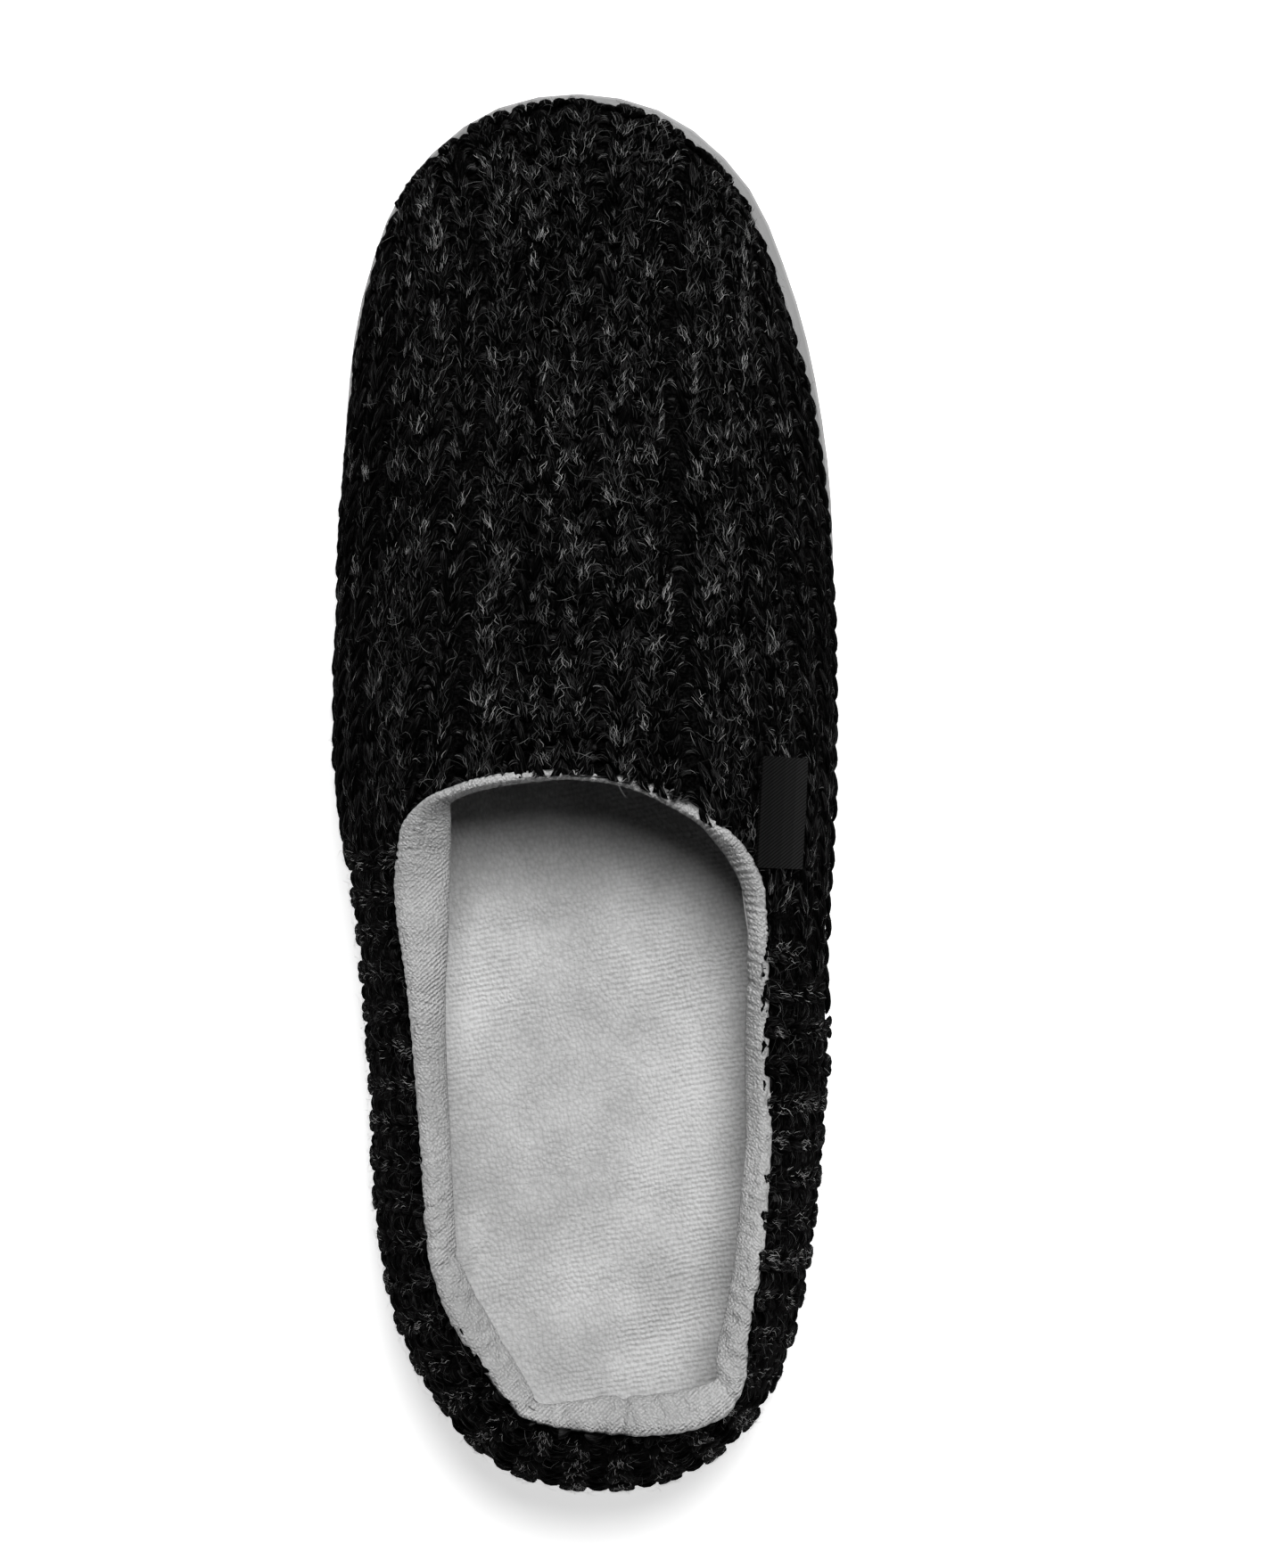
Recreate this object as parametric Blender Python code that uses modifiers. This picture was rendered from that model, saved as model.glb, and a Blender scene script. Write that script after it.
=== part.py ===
# Knitted slip-on house slipper, right foot, standing empty on its sole.
# Metres, +Z up. +X is the outer (lateral) side, +Y the toe, and the origin is on the
# floor under the middle of the slipper's plan box.

import math

import bmesh
import bpy
import numpy as np
from mathutils import Matrix

MM = 0.001

# Driving sizes
LENGTH = 285 * MM  # toe of the sole to the knit at the heel
WIDTH = 102 * MM  # across the knit at the ball
INSTEP_HEIGHT = 68 * MM  # floor to the knit at the middle of the throat
WALL = 5.5 * MM  # knit, foam and plush lining together
CLEARANCE = 0.3 * MM  # between pieces that meet

# Sole
HEEL_THICKNESS = 13 * MM
FOREFOOT_THICKNESS = 10 * MM
TOE_SPRING = 7 * MM
HEEL_BEVEL = 2 * MM
ARCH_RISE = 1.2 * MM
SIDE_STEP = 0.9 * MM  # how far the side band stands out from the tread slab
EDGE_ROUND = 1.6 * MM
GROOVE_WIDTH = 2.4 * MM
GROOVE_DEPTH = 1.5 * MM
GROOVE_PITCH = 9 * MM
GROOVE_MARGIN = 9 * MM  # from the groove's ends to the edge of the sole

# Insole pad
INSOLE_THICKNESS = 6 * MM
INSOLE_CUP = 1.2 * MM  # how far its edge stands above its middle
INSOLE_RIM = 9 * MM  # width of the raised edge

# Upper
KNIT_OVERHANG = 1.6 * MM  # the knit's widest line outside the sole, at the heel
BASE_INSET = 1.8 * MM  # the upper's lower edge, inside the sole's edge
WALL_RISE = 9 * MM  # from the sole's top to the knit's widest line

# Plush collar roll, at its fullest
ROLL_DEPTH = 6.5 * MM  # how far it stands beyond the wall's edge
ROLL_BULGE = 3.5 * MM  # how far it stands out over the wall's inner face

# Woven label on the outer side of the throat
LABEL_LENGTH = 22 * MM
LABEL_REACH = 9 * MM  # its width as seen from above
LABEL_THICKNESS = 0.7 * MM
LABEL_TURN = math.radians(3)

# Stations along the slipper, as shares of LENGTH from the middle
HEEL_BREAK = -0.44
ARCH_FROM = -0.17
ARCH_TO = 0.01
TOE_BREAK = 0.25
SPINE_HEEL = -0.31
SPINE_TOE = 0.31
QUARTER_BREAK = -0.16
THROAT_CORNER = -0.06

# Facets
AROUND = 80
LOWER_RINGS = 3
UPPER_RINGS = 12
ROLL_FACETS = 8
LABEL_FACETS = (4, 8)

# The plan, a row for each bearing: heel, inner side, toe, then outer side.
# sole x and collar x are shares of WIDTH, sole y and collar y shares of LENGTH, knit out
# is a share of KNIT_OVERHANG, and roll a share of ROLL_DEPTH and ROLL_BULGE.
PLAN_COLUMNS = ("sole x", "sole y", "knit out", "collar x", "collar y", "roll")
PLAN = (
    (0.028, -0.494, 1.0, 0.070, -0.457, 1.00),
    (-0.185, -0.474, 1.0, -0.075, -0.452, 0.75),
    (-0.283, -0.436, 1.0, -0.150, -0.438, 0.60),
    (-0.350, -0.392, 1.0, -0.215, -0.408, 0.60),
    (-0.400, -0.322, 1.0, -0.295, -0.335, 0.60),
    (-0.418, -0.210, 1.0, -0.340, -0.210, 0.80),
    (-0.446, -0.095, 0.9, -0.371, -0.096, 1.05),
    (-0.492, 0.010, 0.5, -0.377, -0.040, 1.00),
    (-0.500, 0.125, 0.0, -0.325, -0.010, 0.50),
    (-0.487, 0.250, -0.5, -0.240, 0.003, 0.24),
    (-0.444, 0.364, -0.8, -0.165, 0.010, 0.20),
    (-0.352, 0.441, -1.1, -0.110, 0.013, 0.20),
    (-0.190, 0.488, -1.4, -0.062, 0.015, 0.20),
    (-0.014, 0.500, -1.6, -0.020, 0.015, 0.20),
    (0.155, 0.487, -1.7, 0.026, 0.014, 0.20),
    (0.312, 0.441, -1.9, 0.075, 0.012, 0.20),
    (0.412, 0.364, -1.7, 0.126, 0.008, 0.20),
    (0.482, 0.250, -0.8, 0.192, -0.003, 0.24),
    (0.499, 0.125, 0.0, 0.266, -0.023, 0.35),
    (0.492, 0.010, 0.6, 0.330, -0.053, 0.42),
    (0.474, -0.095, 0.9, 0.362, -0.098, 0.42),
    (0.469, -0.210, 1.0, 0.367, -0.210, 0.40),
    (0.439, -0.322, 1.0, 0.352, -0.325, 0.42),
    (0.395, -0.396, 1.0, 0.327, -0.395, 0.60),
    (0.325, -0.446, 1.0, 0.278, -0.432, 0.85),
    (0.200, -0.482, 1.0, 0.185, -0.450, 1.00),
)
TOE_ROW = 13
LABEL_ROW = 19

# The last above the sole, a row for each section: station as a share of LENGTH, the
# ridge's and the collar's height as shares of INSTEP_HEIGHT, the ridge's side shift as a
# share of WIDTH, and fullness, where 2 is an ellipse and more is squarer.
LAST_COLUMNS = ("station", "ridge height", "collar height", "ridge x", "fullness")
LAST = (
    (-0.50, 1.14, 0.80, 0.028, 1.75),
    (-0.31, 1.09, 0.75, 0.027, 1.75),
    (-0.20, 1.02, 0.70, 0.025, 1.75),
    (-0.09, 1.00, 0.79, 0.012, 1.95),
    (0.015, 1.00, 1.00, -0.006, 2.20),
    (0.11, 0.91, 0.91, -0.012, 2.20),
    (0.21, 0.79, 0.79, -0.012, 2.20),
    (0.31, 0.69, 0.69, -0.012, 2.25),
    (0.41, 0.62, 0.62, -0.012, 2.30),
    (0.50, 0.57, 0.57, -0.012, 2.30),
)

# The sole's side from the floor up: height as a share of its thickness, then how far it
# is set in, as shares of SIDE_STEP and of EDGE_ROUND.
SIDE_COLUMNS = ("height", "step share", "round share")
SIDE = (
    (0.00, 1.0, 1.0),
    (0.08, 1.0, 0.3),
    (0.20, 1.0, 0.0),
    (0.40, 1.0, 0.0),
    (0.46, 0.0, 0.0),
    (0.78, 0.0, 0.0),
    (0.94, 0.0, 0.35),
    (1.00, 0.0, 1.0),
)


def column(table, names, name):
    return np.array([row[names.index(name)] for row in table], float)


def smooth(at, stations, values):
    """A smooth curve through the values at their stations, read at the given places."""
    at = np.atleast_1d(np.asarray(at, float))
    slopes = np.gradient(values, stations, axis=0)
    i = np.clip(np.searchsorted(stations, at, side="right") - 1, 0, len(stations) - 2)
    step = stations[i + 1] - stations[i]
    t = np.clip((at - stations[i]) / step, 0, 1)
    if values.ndim > 1:
        t, step = t[:, None], step[:, None]
    rest = 1 - t
    return (
        values[i] * (1 + 2 * t) * rest**2
        + values[i + 1] * (3 - 2 * t) * t**2
        + step * t * rest * (slopes[i] * rest - slopes[i + 1] * t)
    )


def plan_loops():
    """AROUND points of each plan column, from the heel by the inner side to the toe and
    back by the outer side, half of them on each side."""
    scale = np.array([WIDTH, LENGTH, KNIT_OVERHANG, WIDTH, LENGTH, 1])
    rows = np.array(PLAN) * scale
    wrapped = np.vstack([rows[-3:], rows, rows[:4]])
    chords = np.hypot(*np.diff(wrapped[:, :2], axis=0).T)
    stations = np.concatenate([[0], np.cumsum(chords)])
    heel, toe, end = stations[3], stations[3 + TOE_ROW], stations[3 + len(rows)]
    half = AROUND // 2
    inner = np.linspace(heel, toe, half, endpoint=False)
    outer = np.linspace(toe, end, half, endpoint=False)
    return smooth(np.concatenate([inner, outer]), stations, wrapped)


def outward(loop):
    """Unit normals of a loop that runs clockwise seen from above."""
    along = np.roll(loop, -1, axis=0) - np.roll(loop, 1, axis=0)
    normal = np.column_stack([-along[:, 1], along[:, 0]])
    return normal / np.linalg.norm(normal, axis=1)[:, None]


def grown(loop, distance):
    """The loop moved outwards by a distance, which may differ from point to point."""
    return loop + outward(loop) * np.broadcast_to(distance, len(loop))[:, None]


def ramp(y, start, end):
    return np.clip((y / LENGTH - start) / (end - start), 0, 1)


def floor_line(y):
    """Height of the sole's underside: two flat spots, the arch between them, the toe
    spring and a small bevel at the heel."""
    toe = ramp(y, TOE_BREAK, 0.5)
    heel = ramp(y, HEEL_BREAK, -0.5)
    arch = ramp(y, ARCH_FROM, ARCH_TO)
    return (
        TOE_SPRING * toe**2 + HEEL_BEVEL * heel**2 + ARCH_RISE * np.sin(np.pi * arch) ** 2
    )


def sole_thickness(y):
    t = ramp(y, ARCH_FROM, TOE_BREAK)
    forward = t * t * (3 - 2 * t)
    return HEEL_THICKNESS + (FOREFOOT_THICKNESS - HEEL_THICKNESS) * forward


def sole_top(y):
    return floor_line(y) + sole_thickness(y)


def last_column(y, name):
    stations = column(LAST, LAST_COLUMNS, "station")
    return smooth(y / LENGTH, stations, column(LAST, LAST_COLUMNS, name))


PLAN_LOOPS = plan_loops()
SOLE_LOOP = PLAN_LOOPS[:, 0:2]
KNIT_OUT = PLAN_LOOPS[:, 2]
COLLAR_LOOP = PLAN_LOOPS[:, 3:5]
ROLL = PLAN_LOOPS[:, 5]
KNIT_LOOP = grown(SOLE_LOOP, KNIT_OUT)
BASE_LOOP = grown(SOLE_LOOP, np.minimum(KNIT_OUT, 0) - BASE_INSET)


def reach(origins, directions, loop):
    """How far each ray runs from inside the loop to the loop."""
    a, b = loop, np.roll(loop, -1, axis=0)
    edge = b - a
    gap = a[None] - origins[:, None]
    cross = directions[:, None, 0] * edge[None, :, 1] - directions[:, None, 1] * edge[None, :, 0]
    cross = np.where(np.abs(cross) < 1e-15, 1e-15, cross)
    far = (gap[..., 0] * edge[None, :, 1] - gap[..., 1] * edge[None, :, 0]) / cross
    share = (gap[..., 0] * directions[:, None, 1] - gap[..., 1] * directions[:, None, 0]) / cross
    hit = (share >= -1e-6) & (share <= 1 + 1e-6) & (far > 0)
    return np.where(hit, far, np.inf).min(axis=1)


def last_height(points):
    """Height of the knit's outer face above each plan point inside its widest line. Across
    the slipper it is an arch over the ridge, and at each end a quarter dome."""
    y = points[:, 1]
    spine_y = np.clip(y, SPINE_HEEL * LENGTH, SPINE_TOE * LENGTH)
    spine = np.column_stack([last_column(spine_y, "ridge x") * WIDTH, spine_y])
    away = points - spine
    distance = np.linalg.norm(away, axis=1)
    on_ridge = distance < 1e-7
    direction = np.where(
        on_ridge[:, None], (1.0, 0.0), away / np.maximum(distance, 1e-7)[:, None]
    )
    share = np.clip(distance / reach(spine, direction, KNIT_LOOP), 0, 1)
    fullness = last_column(y, "fullness")
    rise = (1 - share**fullness) ** (1 / fullness)
    widest = sole_top(y) + WALL_RISE
    return widest + (last_column(y, "ridge height") * INSTEP_HEIGHT - widest) * rise


def last_normal(points):
    """Outward unit normals of the knit's outer face at plan points."""
    step = 0.5 * MM
    slope_x = (last_height(points + (step, 0)) - last_height(points - (step, 0))) / (2 * step)
    slope_y = (last_height(points + (0, step)) - last_height(points - (0, step))) / (2 * step)
    normal = np.column_stack([-slope_x, -slope_y, np.ones(len(points))])
    return normal / np.linalg.norm(normal, axis=1)[:, None]


def collar_height(loop):
    """Height of the collar, which is on the last at the throat and follows its own line
    beside the opening and round the heel."""
    on_last = last_height(loop)
    own = last_column(loop[:, 1], "collar height") * INSTEP_HEIGHT
    beside = 1 - ramp(loop[:, 1], QUARTER_BREAK, THROAT_CORNER)
    return on_last + (own - on_last) * beside * beside * (3 - 2 * beside)


def at_height(loop, z):
    return np.column_stack([loop, z])


def knit_skin():
    """Rings of the upper's outer face, from its lower edge up to the collar."""
    base_z = sole_top(BASE_LOOP[:, 1]) + CLEARANCE
    widest_z = sole_top(KNIT_LOOP[:, 1]) + WALL_RISE
    rings = []
    for share in np.linspace(0, 1, LOWER_RINGS, endpoint=False):
        loop = BASE_LOOP + (KNIT_LOOP - BASE_LOOP) * math.sin(share * math.pi / 2)
        rings.append(at_height(loop, base_z + (widest_z - base_z) * share))
    lift = collar_height(COLLAR_LOOP) - last_height(COLLAR_LOOP)
    for turn in np.linspace(0, math.pi / 2, UPPER_RINGS + 1):
        share = 1 - math.cos(turn)
        loop = KNIT_LOOP + (COLLAR_LOOP - KNIT_LOOP) * share
        rings.append(at_height(loop, last_height(loop) + lift * share))
    return np.array(rings)


def box_middle(*loops):
    points = np.vstack(loops)
    return (points.min(axis=0) + points.max(axis=0)) / 2


MIDDLE = box_middle(SOLE_LOOP, KNIT_LOOP)


def clear_scene():
    for existing in list(bpy.data.objects):
        bpy.data.objects.remove(existing)


def new_collection(name):
    made = bpy.data.collections.new(name)
    bpy.context.scene.collection.children.link(made)
    return made


def material(name, colour, roughness):
    made = bpy.data.materials.new(name)
    made.use_nodes = True
    shader = made.node_tree.nodes["Principled BSDF"]
    shader.inputs["Base Color"].default_value = (*colour, 1)
    shader.inputs["Roughness"].default_value = roughness
    shader.inputs["Metallic"].default_value = 0
    return made


def place(name, shape, finish, collection):
    """Makes an object of the finished shape, with the plan box's middle at the origin."""
    mesh = bpy.data.meshes.new(name)
    shape.to_mesh(mesh)
    shape.free()
    mesh.materials.append(finish)
    mesh.shade_smooth()
    mesh.set_sharp_from_angle(angle=math.radians(40))
    made = bpy.data.objects.new(name, mesh)
    made.location = (-MIDDLE[0], -MIDDLE[1], 0)
    collection.objects.link(made)
    return made


def loft(rings, ends):
    """A skin through rings of equally many points. Its ends are left open, capped, or
    joined to each other."""
    shape = bmesh.new()
    rows = [[shape.verts.new(point) for point in ring] for ring in rings]
    pairs = list(zip(rows, rows[1:]))
    if ends == "joined":
        pairs.append((rows[-1], rows[0]))
    for low, high in pairs:
        for i in range(len(low)):
            j = (i + 1) % len(low)
            shape.faces.new((low[i], high[i], high[j], low[j]))
    if ends == "capped":
        cap(shape, rows[0])
        cap(shape, rows[-1])
    if ends != "open":
        bmesh.ops.recalc_face_normals(shape, faces=shape.faces)
    return shape


def thicken(piece, thickness, outwards):
    """Gives an open skin its thickness, to one side of it."""
    wall = piece.modifiers.new("wall", "SOLIDIFY")
    wall.thickness = thickness
    wall.offset = 1 if outwards else -1


def far_skin(piece):
    """The points that Solidify made on the other side of a piece's skin."""
    made = piece.evaluated_get(bpy.context.evaluated_depsgraph_get()).to_mesh()
    points = np.array([vertex.co for vertex in made.vertices])
    return points[len(points) // 2 :]


def cap(shape, row):
    """Fills a ring with strips that run across the slipper, from heel to toe."""
    last = len(row) - 1
    for i in range(len(row) // 2):
        corners = [row[i], row[i + 1], row[last - i], row[(last - i + 1) % len(row)]]
        distinct = list(dict.fromkeys(corners))
        if len(distinct) > 2:
            shape.faces.new(distinct)


def grooves(collection):
    """Cutters for the grooves across the heel and the forefoot, in the flat spots."""
    cutters = []
    for start, end in ((HEEL_BREAK, ARCH_FROM), (ARCH_TO, TOE_BREAK)):
        first, last = start * LENGTH + GROOVE_WIDTH, end * LENGTH - GROOVE_WIDTH
        count = int((last - first) / GROOVE_PITCH + 1e-6)
        middle = (first + last) / 2
        for k in range(count + 1):
            y = middle + (k - count / 2) * GROOVE_PITCH
            origin = np.array([[0.0, y]])
            side = [reach(origin, np.array([[s, 0.0]]), SOLE_LOOP)[0] for s in (-1.0, 1.0)]
            left, right = GROOVE_MARGIN - side[0], side[1] - GROOVE_MARGIN
            shape = bmesh.new()
            bmesh.ops.create_cube(shape, size=1)
            size = (right - left, GROOVE_WIDTH, 2 * GROOVE_DEPTH)
            bmesh.ops.scale(shape, vec=size, verts=shape.verts)
            mesh = bpy.data.meshes.new(f"groove_{len(cutters)}")
            shape.to_mesh(mesh)
            shape.free()
            cutter = bpy.data.objects.new(mesh.name, mesh)
            cutter.location = ((left + right) / 2 - MIDDLE[0], y - MIDDLE[1], 0)
            cutter.hide_render = True
            cutter.display_type = "WIRE"
            collection.objects.link(cutter)
            cutters.append(cutter)
    return cutters


def build_outsole(parts, cutters):
    """One moulded sole: a tread slab, a side band that stands out from it, a rounded
    upper edge, and grooves across both flat spots."""
    rings = []
    for height, step_share, round_share in SIDE:
        loop = grown(SOLE_LOOP, -step_share * SIDE_STEP - round_share * EDGE_ROUND)
        y = loop[:, 1]
        rings.append(at_height(loop, floor_line(y) + height * sole_thickness(y)))
    finish = material("moulded_sole", (0.42, 0.42, 0.42), 0.6)
    sole = place("outsole", loft(rings, "capped"), finish, parts)
    for cutter in grooves(cutters):
        cut = sole.modifiers.new(cutter.name, "BOOLEAN")
        cut.operation = "DIFFERENCE"
        cut.object = cutter
    return sole


def build_upper(parts):
    """One hollow wall, open at the collar and underneath, where the sole closes it.
    Returns its outer and inner rings."""
    outer = knit_skin()
    finish = material("melange_knit", (0.02, 0.02, 0.02), 0.95)
    upper = place("upper", loft(outer, "open"), finish, parts)
    thicken(upper, WALL, outwards=False)
    return outer, far_skin(upper).reshape(outer.shape)


def build_insole(parts, inner):
    """The footbed pad, which fills the floor inside the upper and dips in its middle."""
    edge = grown(inner[0, :, :2], -CLEARANCE)
    shoulder = grown(edge, -EDGE_ROUND)
    middle = grown(edge, -INSOLE_RIM)
    crown = INSOLE_THICKNESS + INSOLE_CUP
    rings = []
    for loop, height in (
        (edge, 0),
        (edge, crown - EDGE_ROUND),
        (shoulder, crown),
        (middle, INSOLE_THICKNESS),
    ):
        rings.append(at_height(loop, sole_top(loop[:, 1]) + CLEARANCE + height))
    finish = material("plush_insole", (0.55, 0.55, 0.55), 0.95)
    return place("insole", loft(rings, "capped"), finish, parts)


def build_collar_roll(parts, outer, inner):
    """The plush roll that edges the opening: a half round on the wall's cut edge, fuller
    on the inside."""
    across = outer[-1] - inner[-1]
    thickness = np.linalg.norm(across, axis=1)[:, None]
    across /= thickness
    into = outer[-1] - outer[-2]
    into -= (into * across).sum(axis=1)[:, None] * across
    into /= np.linalg.norm(into, axis=1)[:, None]
    half = (thickness + ROLL[:, None] * ROLL_BULGE) / 2
    middle = outer[-1] - across * half
    rings = []
    for turn in np.linspace(-math.pi / 2, math.pi / 2, ROLL_FACETS + 1):
        depth = CLEARANCE + ROLL[:, None] * ROLL_DEPTH * math.cos(turn)
        rings.append(middle + into * depth + across * half * math.sin(turn))
    finish = material("plush_collar", (0.55, 0.55, 0.55), 0.95)
    return place("collar_roll", loft(rings, "joined"), finish, parts)


def build_label(parts):
    """A thin woven label that lies on the knit beside the throat, its lower end at the
    collar."""
    foot_x = PLAN[LABEL_ROW][PLAN_COLUMNS.index("collar x")] * WIDTH
    foot_y = PLAN[LABEL_ROW][PLAN_COLUMNS.index("collar y")] * LENGTH
    shape = bmesh.new()
    across, along = LABEL_FACETS
    bmesh.ops.create_grid(shape, x_segments=across, y_segments=along, size=0.5)
    bmesh.ops.scale(shape, vec=(LABEL_REACH, LABEL_LENGTH, 1), verts=shape.verts)
    bmesh.ops.translate(shape, vec=(LABEL_REACH / 2, LABEL_LENGTH / 2, 0), verts=shape.verts)
    turn = Matrix.Rotation(-LABEL_TURN, 3, "Z")
    bmesh.ops.rotate(shape, matrix=turn, verts=shape.verts)
    bmesh.ops.translate(shape, vec=(foot_x, foot_y, 0), verts=shape.verts)
    plan = np.array([vertex.co[:2] for vertex in shape.verts])
    on_knit = at_height(plan, last_height(plan)) + last_normal(plan) * CLEARANCE
    for vertex, point in zip(shape.verts, on_knit):
        vertex.co = point
    finish = material("woven_label", (0.015, 0.015, 0.015), 0.7)
    label = place("label_tab", shape, finish, parts)
    thicken(label, LABEL_THICKNESS, outwards=True)
    return label


def main():
    clear_scene()
    parts = new_collection("knitted_slipper")
    cutters = new_collection("cutters")
    build_outsole(parts, cutters)
    outer, inner = build_upper(parts)
    build_insole(parts, inner)
    build_collar_roll(parts, outer, inner)
    build_label(parts)


main()
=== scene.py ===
# Knitted slipper: the knit, plush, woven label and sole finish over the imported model
import math

import bmesh
import bpy
import numpy as np
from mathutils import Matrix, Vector, noise
from mathutils.bvhtree import BVHTree
from mathutils.geometry import barycentric_transform


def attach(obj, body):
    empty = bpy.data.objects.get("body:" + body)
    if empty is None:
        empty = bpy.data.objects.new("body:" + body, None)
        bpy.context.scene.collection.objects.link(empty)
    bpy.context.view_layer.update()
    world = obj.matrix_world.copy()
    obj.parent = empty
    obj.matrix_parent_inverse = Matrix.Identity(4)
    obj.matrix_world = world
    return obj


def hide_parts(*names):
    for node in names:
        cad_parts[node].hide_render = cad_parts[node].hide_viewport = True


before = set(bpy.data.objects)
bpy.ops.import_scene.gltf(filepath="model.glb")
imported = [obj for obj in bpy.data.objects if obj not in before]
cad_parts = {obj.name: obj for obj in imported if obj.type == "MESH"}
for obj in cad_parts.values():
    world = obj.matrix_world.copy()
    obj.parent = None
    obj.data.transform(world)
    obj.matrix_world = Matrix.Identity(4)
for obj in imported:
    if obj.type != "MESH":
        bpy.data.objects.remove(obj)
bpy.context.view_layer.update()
mm = 0.001
chance = np.random.default_rng(11)


# Helpers for materials and their nodes
def setInputs(node, values):
    for name, value in values.items():
        node.inputs[name].default_value = value


def wire(tree, *links):
    for source, output, target, socket in links:
        tree.links.new(source.outputs[output], target.inputs[socket])


def newMaterial(name):
    made = bpy.data.materials.new(name)
    made.use_nodes = True
    tree = made.node_tree
    return made, tree, tree.nodes["Principled BSDF"]


def addNode(tree, kind, place, **values):
    node = tree.nodes.new(kind)
    node.location = place
    for key, value in values.items():
        if hasattr(node, key):
            setattr(node, key, value)
        else:
            node.inputs[key.replace("_", " ")].default_value = value
    return node


def colourFrom(tree, shader, source, output, stops):
    ramp = addNode(tree, "ShaderNodeValToRGB", (-450, 100))
    marks = ramp.color_ramp.elements
    while len(marks) < len(stops):
        marks.new(0.5)
    for mark, (position, grey) in zip(marks, stops):
        mark.position = position
        mark.color = (grey, grey, grey, 1)
    wire(tree, (source, output, ramp, "Fac"), (ramp, "Color", shader, "Base Color"))


def bumpFrom(tree, shader, source, output, strength, distance):
    bump = addNode(tree, "ShaderNodeBump", (-300, -200), Strength=strength, Distance=distance)
    wire(tree, (source, output, bump, "Height"), (bump, "Normal", shader, "Normal"))


# Camera, looking straight down on the slipper with its toe up
camera = {
    "imageHeight": 1759,
    "pixelsPerMm": 5.515,  # at the height of the slipper's outline
    "outlineHeight": 22 * mm,
    "middleX": 11.5 * mm,  # the slipper stands left of the picture's middle
    "middleY": 1.3 * mm,
    "distance": 1300 * mm,
    "sensorHeight": 24,
}


def addCamera():
    seenHeight = camera["imageHeight"] / camera["pixelsPerMm"] * mm
    bpy.ops.object.camera_add(
        location=(camera["middleX"], camera["middleY"], camera["outlineHeight"] + camera["distance"])
    )
    eye = bpy.context.object
    eye.name = "cameraAbove"
    eye.rotation_euler = (0, 0, 0)
    eye.data.sensor_fit = "VERTICAL"
    eye.data.sensor_height = camera["sensorHeight"]
    eye.data.lens = camera["sensorHeight"] * camera["distance"] / seenHeight
    eye.data.clip_start = 0.01
    eye.data.clip_end = 20
    bpy.context.scene.camera = eye


addCamera()
print("camera placed")


# Studio: a pale floor, a large soft light from the upper right and a pale surround
studio = {
    "floorSize": 6.0,
    "floorColour": (0.9, 0.9, 0.9),
    "keyPlace": (0.13, 0.53, 1.39),
    "keySize": 0.75,
    "keyPower": 25,
    "fillPlace": (0.9, 0.1, 1.3),
    "fillSize": 0.8,
    "fillPower": 1.0,
    "aimHeight": 30 * mm,
    "surround": 0.035,
    "floorGlow": 0.6,  # a lit floor, which keeps the shadow on it pale
}


def addLight(name, place, size, power):
    bpy.ops.object.light_add(type="AREA", location=place)
    lamp = bpy.context.object
    lamp.name = name
    lamp.data.shape = "DISK"
    lamp.data.size = size
    lamp.data.energy = power
    aim = Vector((0, 0, studio["aimHeight"])) - Vector(place)
    lamp.rotation_euler = aim.to_track_quat("-Z", "Y").to_euler()


def addStudio():
    bpy.ops.mesh.primitive_plane_add(size=studio["floorSize"], location=(0, 0, 0))
    floor = bpy.context.object
    floor.name = "studioFloor"
    pale, tree, shader = newMaterial("paleFloor")
    setInputs(
        shader,
        {
            "Base Color": (*studio["floorColour"], 1),
            "Roughness": 0.8,
            "Specular IOR Level": 0.01,
            "Emission Color": (1, 1, 1, 1),
            "Emission Strength": studio["floorGlow"],
        },
    )
    floor.data.materials.append(pale)
    addLight("keyLight", studio["keyPlace"], studio["keySize"], studio["keyPower"])
    addLight("fillLight", studio["fillPlace"], studio["fillSize"], studio["fillPower"])
    world = bpy.data.worlds.new("paleSurround")
    world.use_nodes = True
    background = world.node_tree.nodes["Background"]
    setInputs(background, {"Color": (1, 1, 1, 1), "Strength": studio["surround"]})
    bpy.context.scene.world = world
    bpy.context.scene.view_settings.view_transform = "Standard"


addStudio()
print("studio ready")


# A wave texture's scale for bands of this pitch: at scale 1 it has 20 / (2 * pi) bands a metre
def bandScale(pitch):
    return 2 * math.pi / pitch / 20


# Yarn: near-black wool with paler fibres lying along it, read from the yarn's own UV map
yarn = {
    "dark": 0.0002,
    "middle": 0.003,
    "pale": 0.05,
    "fibreStretch": 9.0,
    "fibreScale": 2.4,
    "point": (0.08, 0.75),  # shares of a stitch's leg between which its fibres turn darker: paler at the point, partly from fuzz and partly as a painted highlight, and painted shade along the rest, which dips
    "pointPalerFuzzAndHighlight": 0.05,
    "restPaintedShade": 0.10,
    "bump": 0.6,
}


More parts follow.
